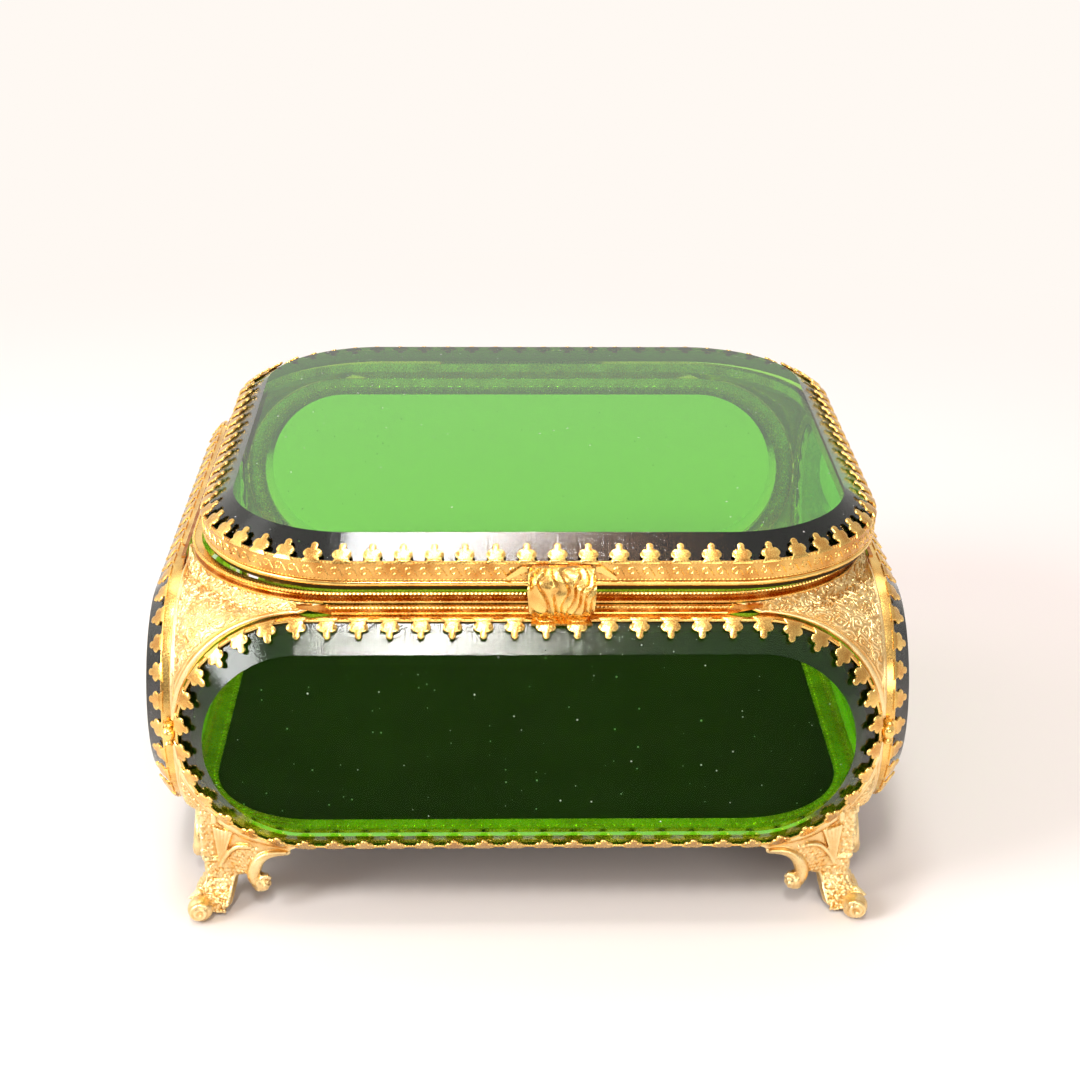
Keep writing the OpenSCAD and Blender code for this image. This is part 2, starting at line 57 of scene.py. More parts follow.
# Sizes that come from the frame, in millimetres

def node_box(name):
    """Lowest and highest corners of a CAD node, in millimetres."""
    low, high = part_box(name)
    return np.array(low) / MM, np.array(high) / MM


SEAT_GAP = 0.2           # between a seat and the glass on it
GLASS_PLAY = 0.3         # between a lip and the edge of its glass
LIP_RISE = 0.6           # how far a lip stands above the edge of its glass
SHEET = 0.8              # thickness of the sheet that the bezels are bent from
front_low, front_high = node_box("front_bezel")
side_low, side_high = node_box("right_bezel")
lid_low, lid_high = node_box("lid_bezel")
rim_low, rim_high = node_box("gallery_rim")
glass_low, glass_high = node_box("lid_glass")
wire_low, wire_high = node_box("lid_wire")
strip_low, strip_high = node_box("front_strip")

PANEL_R = (front_high[2] - front_low[2]) / 2
PANEL_Z = (front_high[2] + front_low[2]) / 2
FRONT_HALF = (front_high[0] - front_low[0]) / 2
SIDE_HALF = (side_high[1] - side_low[1]) / 2
WALL_Y = -node_box("front_glass")[1][1] - SEAT_GAP
WALL_X = node_box("right_glass")[0][0] - SEAT_GAP
LID_X = (lid_high[0] + lid_low[0]) / 2
RIM_X = (rim_high[0] - rim_low[0]) / 2
RIM_Y = (rim_high[1] - rim_low[1]) / 2
RIM_Z = rim_low[2]
RIM_TOP = rim_high[2]
STRIP_Z = strip_low[2]
CORNER_R = RIM_X - strip_high[0] + 1.5
RIM = (RIM_X, RIM_Y, CORNER_R)
BAND_Z = lid_low[2]
LID_GLASS_Z = glass_low[2]
LID_TOP = glass_high[2]
WALLS = {
    "front": (0, WALL_Y, FRONT_HALF),
    "right": (90, WALL_X, SIDE_HALF),
    "back": (180, WALL_Y, FRONT_HALF),
    "left": (-90, WALL_X, SIDE_HALF),
}


# Settings that a user would change

def size(name, default, text):
    """A length in millimetres for a settings panel."""
    return bpy.props.FloatProperty(name=name, description=text, default=default, min=0.0)


def tone(name, default, text):
    """A colour for a settings panel, from an sRGB hex value."""
    return bpy.props.FloatVectorProperty(name=name, description=text, default=linear(default),
                                         size=4, subtype="COLOR", min=0.0, max=1.0)


def linear(hex_value):
    """sRGB hex to a linear RGBA colour."""
    channels = [int(hex_value[i:i + 2], 16) / 255 for i in (0, 2, 4)]
    return [c / 12.92 if c <= 0.04045 else ((c + 0.055) / 1.055) ** 2.4 for c in channels] + [1.0]


class CasketGlass(bpy.types.PropertyGroup):
    """Sizes and tint of the glass plates"""
    wall_thickness: size("Wall thickness", 6.3, "Thickness of a wall glass, in mm")
    wall_edge: size("Wall edge", 1.8, "Thickness of a wall glass at its edge, in mm")
    wall_bevel: size("Wall bevel", 5.3, "Width of the bevel on a wall glass, in mm")
    lid_edge: size("Lid edge", 1.9, "Thickness of the lid glass at its edge, in mm")
    lid_bevel: size("Lid bevel", 6.2, "Width of the bevel on the lid glass, in mm")
    lip: size("Lip", 0.6, "Thickness of the metal round a glass, in mm")
    tint: tone("Tint", "CFF500", "Colour that the glass lets through")
    density: bpy.props.FloatProperty(name="Density", default=420.0,
                                     description="How fast the tint deepens, per metre")
    lining: tone("Lining", "332D2A", "Colour of the velvet on the base panel")


class CasketMetal(bpy.types.PropertyGroup):
    """Sizes and colours of the gilt metal"""
    prong_pitch: size("Prong pitch", 6.5, "Distance from prong to prong, in mm")
    wall_prong: size("Wall prong", 4.0, "Length of a wall prong, in mm")
    lid_prong: size("Lid prong", 4.2, "Length of a lid prong, in mm")
    rope_pitch: size("Rope pitch", 0.85, "Distance from strand to strand of a rope edge, in mm")
    # The gilt runs from deep to bright by a per-vertex value: partly real gilding, deeper in
    # hollows and rubbed bright on high spots, partly painted shade in recesses and painted
    # highlight on raised edges
    bright: tone("Bright gilt", "FFD67E", "Colour of the polished high spots")
    deep: tone("Deep gilt", "AE6012", "Colour of the gilding in hollows")
    pale: tone("Pale gilt", "FFE6AC", "Colour of the cast pieces")
    satin_and_shade: tone("Satin gilt", "D9A55A", "Colour of the cast pieces in their hollows")
    # Painted shade: this dark, dull colour darkens the skirt in the gap under the lid wire, and it
    # also darkens the upper seats behind the glass
    dull_shade: tone("Shading", "3A2E18", "Colour of the seats behind the glass, left dull")


class CasketStage(bpy.types.PropertyGroup):
    """Floor, backdrop and lamps"""
    floor: tone("Floor", "F2EDEA", "Colour of the floor")
    lamp_power: bpy.props.FloatProperty(name="Lamp power", default=1.0, min=0.0,
                                        description="Brightness of all the lamps together")


# Nodes

def add(tree, kind, inputs=None, **settings):
    """Adds a node, sets its settings, and links or fills its inputs."""
    node = tree.nodes.new(kind)
    for key, value in settings.items():
        setattr(node, key, value)
    for key, value in (inputs or {}).items():
        socket = node.inputs[key]
        if isinstance(value, bpy.types.NodeSocket):
            tree.links.new(value, socket)
        else:
            socket.default_value = value
    return node


def new_material(name):
    """An empty node material with its output node."""
    material = bpy.data.materials.new(name)
    material.use_nodes = True
    material.node_tree.nodes.clear()
    return material, material.node_tree, add(material.node_tree, "ShaderNodeOutputMaterial")


def arithmetic(tree, operation, one, two, **settings):
    """A sum, a product or a comparison of two values."""
    return add(tree, "ShaderNodeMath", {0: one, 1: two}, operation=operation, **settings).outputs[0]


def remap(tree, value, old, new, **settings):
    """A value moved from one range to another."""
    return add(tree, "ShaderNodeMapRange",
               {"Value": value, "From Min": old[0], "From Max": old[1],
                "To Min": new[0], "To Max": new[1]}, **settings).outputs[0]


def blend(tree, factor, one, two, data_type="RGBA"):
    """A mix of two colours, or of two values."""
    return add(tree, "ShaderNodeMix", {"Factor": factor, "A": one, "B": two},
               data_type=data_type).outputs["Result"]


def attribute(tree, name):
    """The value of an attribute of the mesh."""
    return add(tree, "ShaderNodeAttribute", attribute_name=name).outputs["Fac"]


def noise(tree, place, scale, detail):
    """Noise over the object, with about so many cells to a metre."""
    return add(tree, "ShaderNodeTexNoise",
               {"Vector": place, "Scale": scale, "Detail": detail}).outputs["Fac"]


def bumped(tree, height, depth_mm, strength=1.0):
    """The normal of a surface that a height stands on."""
    return add(tree, "ShaderNodeBump", {"Height": height, "Strength": strength,
                                        "Distance": depth_mm * MM}).outputs["Normal"]


def green_glass(name, tint, density):
    """Pot-coloured green flint glass: clear and polished, with dust and grinding streaks."""
    _, tree, output = new_material(name)
    place = add(tree, "ShaderNodeTexCoord").outputs["Object"]
    ground = attribute(tree, "ground")
    # The photo shows almost no reflection in the wall faces and lower bevels: they mirror little
    shader = add(tree, "ShaderNodeBsdfPrincipled",
                 {"Base Color": (1.0, 1.0, 1.0, 1.0), "IOR": 1.52,
                  "Roughness": arithmetic(tree, "MULTIPLY", ground, 0.1),
                  "Specular Tint": attribute(tree, "mirror")})
    # One speck of dust to a cell of 1.7 mm: most are too small to see, the widest are 0.4 mm
    dust = add(tree, "ShaderNodeTexVoronoi", {"Vector": place, "Scale": 600.0})
    chance = add(tree, "ShaderNodeSeparateColor", {0: dust.outputs["Color"]}).outputs[0]
    reach = arithmetic(tree, "MULTIPLY", arithmetic(tree, "POWER", chance, 5.0), 0.13)
    bare = arithmetic(tree, "GREATER_THAN", dust.outputs["Distance"], reach)
    tree.links.new(remap(tree, bare, (0.0, 1.0), (0.3, 1.0)), shader.inputs["Transmission Weight"])
    # The wheel leaves streaks across the bevel, about half a millimetre apart
    streaks = add(tree, "ShaderNodeTexNoise",
                  {"W": attribute(tree, "along"), "Scale": 1.9, "Detail": 4.0, "Roughness": 0.7},
                  noise_dimensions="1D").outputs["Fac"]
    marks = arithmetic(tree, "MULTIPLY", streaks, ground)
    tree.links.new(bumped(tree, marks, 0.012), shader.inputs["Normal"])
    # Shadow rays pass straight on with a green tinge, so the glass lets light fall through it
    shadow = add(tree, "ShaderNodeLightPath").outputs["Is Shadow Ray"]
    clear = add(tree, "ShaderNodeBsdfTransparent", {"Color": linear("57913C")})
    through = add(tree, "ShaderNodeMixShader",
                  {0: shadow, 1: shader.outputs[0], 2: clear.outputs[0]})
    volume = add(tree, "ShaderNodeVolumeAbsorption", {"Color": tuple(tint), "Density": density})
    tree.links.new(through.outputs[0], output.inputs["Surface"])
    tree.links.new(volume.outputs[0], output.inputs["Volume"])


def dark_velvet(name, colour):
    """Velvet on a stiff board: matte and dark, with a soft sheen and a faintly patchy nap."""
    _, tree, output = new_material(name)
    place = add(tree, "ShaderNodeTexCoord").outputs["Object"]
    worn = remap(tree, noise(tree, place, 45.0, 3.0), (0.0, 1.0), (0.75, 1.25))
    shade = add(tree, "ShaderNodeVectorMath", {0: tuple(colour)[:3], "Scale": worn},
                operation="SCALE").outputs["Vector"]
    nap = bumped(tree, noise(tree, place, 5200.0, 1.0), 0.05, 0.4)
    shader = add(tree, "ShaderNodeBsdfPrincipled",
                 {"Base Color": shade, "Roughness": 0.95, "Specular IOR Level": 0.1,
                  "Sheen Weight": 0.04, "Sheen Roughness": 0.4, "Normal": nap})
    tree.links.new(shader.outputs[0], output.inputs["Surface"])


def gilt_metal(name, high, low, roughness, grain_mm, bump_mm):
    """Gilt brass: the gilding is bright where it is rubbed and deeper in the hollows. The same
    per-vertex value also paints shade in recesses and highlights on raised edges.
    """
    _, tree, output = new_material(name)
    place = add(tree, "ShaderNodeTexCoord").outputs["Object"]
    # Wear comes and goes in patches about 5 mm wide
    wear = remap(tree, noise(tree, place, 210.0, 4.0), (0.35, 0.65), (-0.25, 0.2))
    level = arithmetic(tree, "ADD", attribute(tree, "relief_and_shade"), wear, use_clamp=True)
    grain = noise(tree, place, 1 / (grain_mm * MM), 2.0)
    gloss = remap(tree, grain, (0.3, 0.7), (roughness * 0.75, roughness * 1.3))
    shader = add(tree, "ShaderNodeBsdfPrincipled",
                 {"Base Color": blend(tree, level, tuple(low), tuple(high)), "Metallic": 1.0,
                  "Roughness": gloss, "Normal": bumped(tree, grain, bump_mm)})
    tree.links.new(shader.outputs[0], output.inputs["Surface"])


def casket_materials(scene):
    """The materials of the casket, made once and found again by name."""
    if "bevelled_green_glass" not in bpy.data.materials:
        glass, metal = scene.casket_glass, scene.casket_metal
        green_glass("bevelled_green_glass", glass.tint, glass.density)
        dark_velvet("dark_velvet_lining", glass.lining)
        gilt_metal("stamped_gilt_brass", metal.bright, metal.deep, 0.25, 0.35, 0.012)
        gilt_metal("cast_gilt_metal", metal.pale, metal.satin_and_shade, 0.32, 0.3, 0.03)
        gilt_metal("plain_gilt_wire", metal.bright, metal.deep, 0.2, 0.8, 0.006)
        # A dark, dull metal for the upper seats behind the glass, which also paints shade on the
        # lid's skirt
        gilt_metal("dull_brass_painted_shade", metal.dull_shade, metal.dull_shade, 0.45, 0.5, 0.01)
    return bpy.data.materials


# Shapes are held as vertices in millimetres with faces, until a piece is finished

class Shape:
    """Vertices and faces, and for each vertex a value from 0 to 1 that sets its gilt from deep to
    bright: partly how high it stands, partly painted shade and highlight.
    """

    def __init__(self, points, faces, relief_and_shade=1.0):
        self.points = np.asarray(points, dtype=float).reshape(-1, 3)
        self.faces = [tuple(face) for face in faces]
        self.relief_and_shade = np.broadcast_to(np.asarray(relief_and_shade, dtype=float), len(self.points)).copy()

    def moved(self, matrix):
        """The shape under a 4x4 matrix. A mirror turns its faces over."""
        points = self.points @ matrix[:3, :3].T + matrix[:3, 3]
        faces = self.faces
        if np.linalg.det(matrix[:3, :3]) < 0:
            faces = [face[::-1] for face in faces]
        return Shape(points, faces, self.relief_and_shade)

    def shifted(self, x):
        """The shape moved sideways by a distance in millimetres."""
        return Shape(self.points + np.array([x, 0.0, 0.0]), self.faces, self.relief_and_shade)


def joined(shapes):
    """One shape that holds all of them."""
    faces, start = [], 0
    for shape in shapes:
        faces += [tuple(i + start for i in face) for face in shape.faces]
        start += len(shape.points)
    return Shape(np.concatenate([shape.points for shape in shapes]), faces,
                 np.concatenate([shape.relief_and_shade for shape in shapes]))


def turned(axis, degrees, shift=(0, 0, 0)):
    """A 4x4 rotation about an axis, then a shift."""
    matrix = np.array(Matrix.Rotation(math.radians(degrees), 4, axis))
    matrix[:3, 3] = shift
    return matrix


def seat_cover(half_x, half_y, radius, inner, outer, height):
    """The strip of a bezel that lies behind glass, to be given a finish of its own."""
    low, high = height - 0.3, height + 0.04
    profile = [(outer, low), (outer, high), (inner + 0.02, high), (inner + 0.02, low)]
    return swept(half_x, half_y, radius, profile, relief_and_shade=0.5)


def finish_seat(piece, material, count):
    """Gives the last faces of a piece, its seat, a duller, darker metal, but not low down on a
    wall. On the lid they also hold the skirt, where the dark metal is painted shade.
    """
    mesh = piece.data
    mesh.materials.append(material)
    lowest = PANEL_Z - 0.3 * PANEL_R
    for polygon in mesh.polygons[len(mesh.polygons) - count:]:
        polygon.material_index = int(polygon.center.z / MM > lowest)


def stood_in_wall(shape, side):
    """Stands a shape that was drawn face up in XY into a wall."""
    turn, out, _ = WALLS[side]
    return shape.moved(turned("Z", turn) @ turned("X", 90, (0, -out, PANEL_Z)))


def mesh_of(name, shape, sharp=35):
    """A mesh in metres with its relief attribute. Edges sharper than an angle stay crisp."""
    mesh = bpy.data.meshes.new(name)
    mesh.from_pydata((shape.points * MM).tolist(), [], shape.faces)
    layer = mesh.attributes.new("relief_and_shade", "FLOAT", "POINT")
    layer.data.foreach_set("value", shape.relief_and_shade.astype(np.float32))
    mesh.polygons.foreach_set("use_smooth", [True] * len(mesh.polygons))
    mesh.update()
    mesh.set_sharp_from_angle(angle=math.radians(sharp))
    return mesh


def finish_piece(name, shape, material, nodes, body="casket", sharp=35):
    """Turns a shape into a piece that rides on a body and stands for its CAD nodes."""
    mesh = mesh_of(name, shape, sharp)
    mesh.materials.append(material)
    piece = bpy.data.objects.new(name, mesh)
    bpy.context.scene.collection.objects.link(piece)
    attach(piece, body)
    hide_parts(*nodes)
    return piece


# Outlines and mouldings

ONE_STEP = 200.0         # a straight step longer than any side leaves the side in one piece


def outline(half_x, half_y, radius, inset=0.0, arc_steps=14, straight_step=6.0):
    """Closed round-cornered outline in XY, anticlockwise from the middle of its lower side."""
    points = [(0.0, inset - half_y)]
    for corner in range(4):
        sign_x = 1 if corner in (0, 1) else -1
        sign_y = -1 if corner in (0, 3) else 1
        centre = (sign_x * (half_x - radius), sign_y * (half_y - radius))
        start = points[-1]
        first = math.radians(-90 + 90 * corner)
        entry = (centre[0] + (radius - inset) * math.cos(first),
                 centre[1] + (radius - inset) * math.sin(first))
        straight = half_x - radius if corner % 2 == 0 else half_y - radius
        steps = int(2 * straight / straight_step) if corner else int(straight / straight_step)
        points += [(start[0] + (entry[0] - start[0]) * k / (steps + 1),
                    start[1] + (entry[1] - start[1]) * k / (steps + 1))
                   for k in range(1, steps + 1)]
        if straight > 1e-6:
            points.append(entry)
        for k in range(1, arc_steps + 1):
            angle = first + math.radians(90) * k / arc_steps
            points.append((centre[0] + (radius - inset) * math.cos(angle),
                           centre[1] + (radius - inset) * math.sin(angle)))
    steps = int((half_x - radius) / straight_step)
    start = points[-1]
    points += [(start[0] * (1 - k / (steps + 1)), start[1]) for k in range(1, steps + 1)]
    return np.array(points)


def at_height(flat, height):
    """A flat line of points, lifted to a height."""
    return np.column_stack([flat, np.full(len(flat), height)])


def edge_lengths(line):
    """The lengths of the edges of a closed line."""
    return np.linalg.norm(np.roll(line, -1, axis=0) - line, axis=1)


def loft(rings, closed_profile=False, capped=False, relief_and_shade=1.0):
    """Joins closed rings of points, each with as many points, into a skin."""
    count = len(rings[0])
    levels = len(rings)
    faces = []
    for i in range(levels if closed_profile else levels - 1):
        low, high = i * count, (i + 1) % levels * count
        faces += [(low + j, low + (j + 1) % count, high + (j + 1) % count, high + j)
                  for j in range(count)]
    if capped:
        faces.append(tuple(range(count))[::-1])
        faces.append(tuple(range((levels - 1) * count, levels * count)))
    return Shape(np.concatenate(rings), faces, relief_and_shade)


def swept(half_x, half_y, radius, profile, relief_and_shade=1.0):
    """Sweeps a closed profile of (inset, height) points round an outline."""
    rings = [at_height(outline(half_x, half_y, radius, inset), height) for inset, height in profile]
    if np.ndim(relief_and_shade):
        relief_and_shade = np.repeat(relief_and_shade, len(rings[0]))
    return loft(rings, closed_profile=True, relief_and_shade=relief_and_shade)


def softened(points, radius, steps=3):
    """Rounds every corner of a closed polygon of (inset, height) points."""
    points = [np.array(p, dtype=float) for p in points]
    result = []
    for i, corner in enumerate(points):
        before, after = points[i - 1], points[(i + 1) % len(points)]
        start = corner + (before - corner) * min(0.45, radius / np.linalg.norm(before - corner))
        end = corner + (after - corner) * min(0.45, radius / np.linalg.norm(after - corner))
        for k in range(steps + 1):
            t = k / steps
            result.append((1 - t) ** 2 * start + 2 * t * (1 - t) * corner + t * t * end)
    return result


def ball(radius, centre=(0, 0, 0), rings=5, sides=7, stretch=(1, 1, 1)):
    """A closed ball of quads and triangles, stretched along its axes."""
    points = [(0, 0, -radius)]
    for i in range(1, rings):
        tilt = math.pi * i / rings
        points += [(radius * math.sin(tilt) * math.cos(2 * math.pi * j / sides),
                    radius * math.sin(tilt) * math.sin(2 * math.pi * j / sides),
                    -radius * math.cos(tilt)) for j in range(sides)]
    points.append((0, 0, radius))
    last = len(points) - 1
    faces = [(0, 1 + (j + 1) % sides, 1 + j) for j in range(sides)]
    for i in range(rings - 2):
        low, high = 1 + i * sides, 1 + (i + 1) * sides
        faces += [(low + j, low + (j + 1) % sides, high + (j + 1) % sides, high + j)
                  for j in range(sides)]
    faces += [(last, last - sides + j, last - sides + (j + 1) % sides) for j in range(sides)]
    return Shape(np.array(points) * np.array(stretch) + np.array(centre), faces)


def tube(path, radii, sides=8):
    """A closed tube along a path, with a radius for each point and round ends."""
    path = np.array(path, dtype=float)
    radii = np.broadcast_to(np.asarray(radii, dtype=float), len(path))
    tangents = np.gradient(path, axis=0)
    tangents /= np.linalg.norm(tangents, axis=1)[:, None]
    upright = (0.0, 0.0, 1.0) if abs(tangents[0][2]) < 0.9 else (0.0, 1.0, 0.0)
    side = np.cross(tangents[0], upright)
    rings = []
    for point, tangent, radius in zip(path, tangents, radii):
        side = side - tangent * np.dot(side, tangent)
        side /= np.linalg.norm(side)
        up = np.cross(tangent, side)
        rings.append([point + radius * (side * math.cos(a) + up * math.sin(a))
                      for a in np.linspace(0, 2 * math.pi, sides, endpoint=False)])
    tip = [path[0] + (np.array(p) - path[0]) * 0.5 - tangents[0] * radii[0] * 0.6
           for p in rings[0]]
    end = [path[-1] + (np.array(p) - path[-1]) * 0.5 + tangents[-1] * radii[-1] * 0.6
           for p in rings[-1]]
    rings = [tip] + rings + [end]
    return loft([np.array(r) for r in rings], capped=True)


# Repeats, made by one node tree

def repeat_tree():
    """A node tree that sets a copy of an item at even steps along a closed or open line."""
    tree = bpy.data.node_groups.new("repeat_along_line", "GeometryNodeTree")
    face = tree.interface
    face.new_socket("Line", in_out="INPUT", socket_type="NodeSocketGeometry")
    face.new_socket("Item", in_out="INPUT", socket_type="NodeSocketObject")
    count = face.new_socket("Count", in_out="INPUT", socket_type="NodeSocketInt")
    face.new_socket("Finish", in_out="INPUT", socket_type="NodeSocketMaterial")
    face.new_socket("Row", in_out="OUTPUT", socket_type="NodeSocketGeometry")
    count.default_value = 10
    given = add(tree, "NodeGroupInput")
    even = add(tree, "GeometryNodeResampleCurve",
               {"Curve": given.outputs["Line"], "Count": given.outputs["Count"]}, mode="COUNT")
    tangent = add(tree, "GeometryNodeInputTangent")
    facing = add(tree, "FunctionNodeAlignRotationToVector", {"Vector": tangent.outputs[0]},
                 axis="Y", pivot_axis="Z")
    item = add(tree, "GeometryNodeObjectInfo", {"Object": given.outputs["Item"]})
    placed = add(tree, "GeometryNodeInstanceOnPoints",
                 {"Points": even.outputs[0], "Instance": item.outputs["Geometry"],
                  "Rotation": facing.outputs[0]})
    real = add(tree, "GeometryNodeRealizeInstances", {0: placed.outputs[0]})
    finished = add(tree, "GeometryNodeSetMaterial",
                   {"Geometry": real.outputs[0], "Material": given.outputs["Finish"]})
    add(tree, "NodeGroupOutput", {0: finished.outputs[0]})
    return tree


def evaluated(holder):
    """The mesh of an object after its modifiers."""
    graph = bpy.context.evaluated_depsgraph_get()
    return bpy.data.meshes.new_from_object(holder.evaluated_get(graph), depsgraph=graph)


def read_rows(items, key, width, kind=np.float32):
    """One property of all the parts of a mesh, in rows of numbers."""
    values = np.empty(len(items) * width, dtype=kind)
    items.foreach_get(key, values)
    return values.reshape(-1, width)


def repeated(item, line, count, material, closed=True):
    """Copies of an item shape along a line of points, with the item's +Y along the line."""
    tree = bpy.data.node_groups.get("repeat_along_line") or repeat_tree()
    curve = bpy.data.curves.new("line", "CURVE")
    curve.dimensions = "3D"
    spline = curve.splines.new("POLY")
    spline.points.add(len(line) - 1)
    for point, place in zip(spline.points, line):
        point.co = (*(np.array(place) * MM), 1.0)
    spline.use_cyclic_u = closed
    holder = bpy.data.objects.new("line", curve)
    sample = bpy.data.objects.new("item", mesh_of("item", item))
    for extra in (holder, sample):
        bpy.context.scene.collection.objects.link(extra)
    modifier = holder.modifiers.new("repeat", "NODES")
    modifier.node_group = tree
    keys = {s.name: s.identifier for s in tree.interface.items_tree if s.in_out == "INPUT"}
    modifier[keys["Item"]] = sample
    modifier[keys["Count"]] = count
    modifier[keys["Finish"]] = material
    made = evaluated(holder)
    relief_and_shade = read_rows(made.attributes["relief_and_shade"].data, "value", 1)[:, 0]
    points = read_rows(made.vertices, "co", 3) / MM
    shape = Shape(points, [p.vertices for p in made.polygons], relief_and_shade)
    holder.modifiers.remove(modifier)
    for extra, data in ((holder, bpy.data.curves), (sample, bpy.data.meshes)):
        old = extra.data
        bpy.data.objects.remove(extra)
        data.remove(old)
    bpy.data.meshes.remove(made)
    return shape


def edging(item, line, pitch, material):
    """Copies of an item all round a closed line, about a pitch apart."""
    return repeated(item, line, round(edge_lengths(line).sum() / pitch), material)


# Bezels and their prongs

PRONG_DRAWN = 4.1        # length that the outline of a prong is drawn at


def prong_outline():
    """Half outline of a trefoil prong, as (along, across): neck, side lobe and tip."""
    def arc(cx, cy, r, first, last, steps):
        return [(cx + r * math.cos(math.radians(a)), cy + r * math.sin(math.radians(a)))
                for a in np.linspace(first, last, steps)]
    neck = [(-0.6, 2.3), (0.0, 1.75), (0.35, 1.5)]
    side = arc(1.4, 1.05, 1.05, 148, -12, 6)
    tip = arc(3.28, 0.0, 0.82, 118, 0, 4)
    return neck + side + tip


def prong(length, tilt, thickness=0.45, bend_r=0.8):
    """A trefoil prong bent from a lip that stands up. X runs inwards, Z is up, Y along the edge."""
    half = np.array(prong_outline())
    half[:, 0] = np.where(half[:, 0] > 0, half[:, 0] * length / PRONG_DRAWN, half[:, 0])
    rim = np.concatenate([half, (half * [1, -1])[-2::-1]])
    spine = rim * [1, 0]
    spine[:, 0] = np.clip(rim[:, 0], 0.3, length - 1.0)
    # The last number of each level sets the gilt: the raised outline is painted brightest, an edge
    # highlight, and the middle darker, painted shade
    levels = [(0.0, 0.0, 0.5), (0.0, thickness * 0.65, 1.0), (0.1, thickness, 0.95),
              (0.5, thickness + 0.06, 0.6)]
    slope = math.radians(tilt)
    bend = math.radians(90 - tilt)
    turn_len = bend_r * bend
    rings, relief_and_shade = [], []
    for share, height, shade in levels:
        flat = rim + (spine - rim) * share
        u = flat[:, 0] + 0.6
        angle = np.clip(u / turn_len, 0, 1) * bend
        past = np.maximum(u - turn_len, 0)
        x = (bend_r - bend_r * np.cos(angle) + past * math.cos(slope)
             - height * np.cos(angle))
        z = bend_r * np.sin(angle) + past * math.sin(slope) + height * np.sin(angle)
        rings.append(np.column_stack([x, flat[:, 1], z]))
        relief_and_shade.append(np.full(len(flat), shade))
    return loft(rings, capped=True, relief_and_shade=np.concatenate(relief_and_shade))


def prong_row(half_x, half_y, radius, lip_z, length, tilt, pitch, material):
    """A row of prongs all round an outline, standing on a lip whose top is at lip_z."""
    line = outline(half_x, half_y, radius, arc_steps=24)
    perimeter = 4 * (half_x + half_y - 2 * radius) + 2 * math.pi * radius
    count = 2 * round(perimeter / pitch / 2)
    flat = shifted_start(line, perimeter / count / 2)
    shape = prong(length, tilt).moved(turned("Z", 180)).shifted(-0.1)
    return repeated(shape, at_height(flat, lip_z - 0.62), count, material)


def shifted_start(line, distance):
    """The same closed line, with its first point moved on by a distance."""
    steps = edge_lengths(line)
    total = np.concatenate([[0], np.cumsum(steps)])
    k = int(np.searchsorted(total, distance, side="right")) - 1
    share = (distance - total[k]) / steps[k]
    start = line[k] + (line[(k + 1) % len(line)] - line[k]) * share
    return np.concatenate([[start], line[k + 1:], line[:k + 1]])


DASH_PITCH = 2.1         # distance from dash to dash of an embossed line


def wall_bezel(side, glass, metal, material):
    """A wall bezel: flange with an embossed line, lip and prongs."""
    _, _, half = WALLS[side]
    oval = (half, PANEL_R, PANEL_R)
    seat = 4.6
    lip_z = SEAT_GAP + glass.wall_edge + LIP_RISE
    tilt = math.degrees(math.atan((glass.wall_thickness - glass.wall_edge) / glass.wall_bevel))
    lip = [(0, -SHEET), (0, lip_z - 0.1), (glass.lip, lip_z - 0.1), (glass.lip, 0),
           (seat, 0), (seat, -SHEET)]
    ring = swept(*oval, softened(lip, 0.22), relief_and_shade=0.8)
    prongs = prong_row(*oval, lip_z, metal.wall_prong, tilt, metal.prong_pitch, material)
    dash = ball(0.42, stretch=(0.9, 1.9, 0.7), sides=8)
    line = at_height(outline(*oval, 2.4), -SHEET)
    dashes = repeated(dash, line, round(4 * half / DASH_PITCH), material)
    cover = seat_cover(*oval, seat, glass.lip, 0.0)
    shape = stood_in_wall(joined([ring, prongs, dashes, cover]), side)
    name = f"{side}_bezel"
    piece = finish_piece(f"{name}_strip", shape, material, [name])
    finish_seat(piece, bpy.data.materials["dull_brass_painted_shade"], len(cover.faces))


def wall_glass(side, glass, material):
    """A wall glass: an oval plate with a ground bevel, whose arrises are just taken off."""
    _, _, half = WALLS[side]
    edge = glass.lip + GLASS_PLAY
    bevel = glass.wall_bevel
    back, rise, face = SEAT_GAP, SEAT_GAP + glass.wall_edge, SEAT_GAP + glass.wall_thickness
    section = [(edge + 0.15, back), (edge, back + 0.15), (edge, rise), (edge + bevel, face)]
    build_glass(f"{side}_glass_plate", half, PANEL_R, PANEL_R, section, f"{side}_glass", "casket",
                material, lambda shape: stood_in_wall(shape, side), 0.08)


def build_glass(name, half_x, half_y, radius, section, node, body, material, place, mirror):
    """Lofts a glass plate from its section. Its bevel is marked as ground, and an upper bevel
    mirrors fully. The rest mirrors as much as it is told to."""
    rings = [at_height(outline(half_x, half_y, radius, inset, 32, ONE_STEP), height)
             for inset, height in section]
    count = len(rings[0])
    shape = place(loft(rings, capped=True))
    mesh = finish_piece(name, shape, material, [node], body, sharp=15).data
    along = np.concatenate([[0], np.cumsum(edge_lengths(rings[0]))])
    layers = {key: mesh.attributes.new(key, "FLOAT", "CORNER")
              for key in ("along", "ground", "mirror")}
    for polygon in mesh.polygons:
        ids = polygon.vertices
        on_bevel = len(ids) == 4 and min(ids) >= (len(section) - 2) * count
        places = [i % count for i in ids]
        if max(places) - min(places) > count / 2:
            places = [k or count for k in places]
        upper = on_bevel and polygon.center.z / MM > PANEL_Z - 0.5 * PANEL_R
        for loop, k in zip(polygon.loop_indices, places):
            layers["along"].data[loop].value = along[k]
            layers["ground"].data[loop].value = float(on_bevel)
            layers["mirror"].data[loop].value = 1.0 if upper else mirror


# Lid

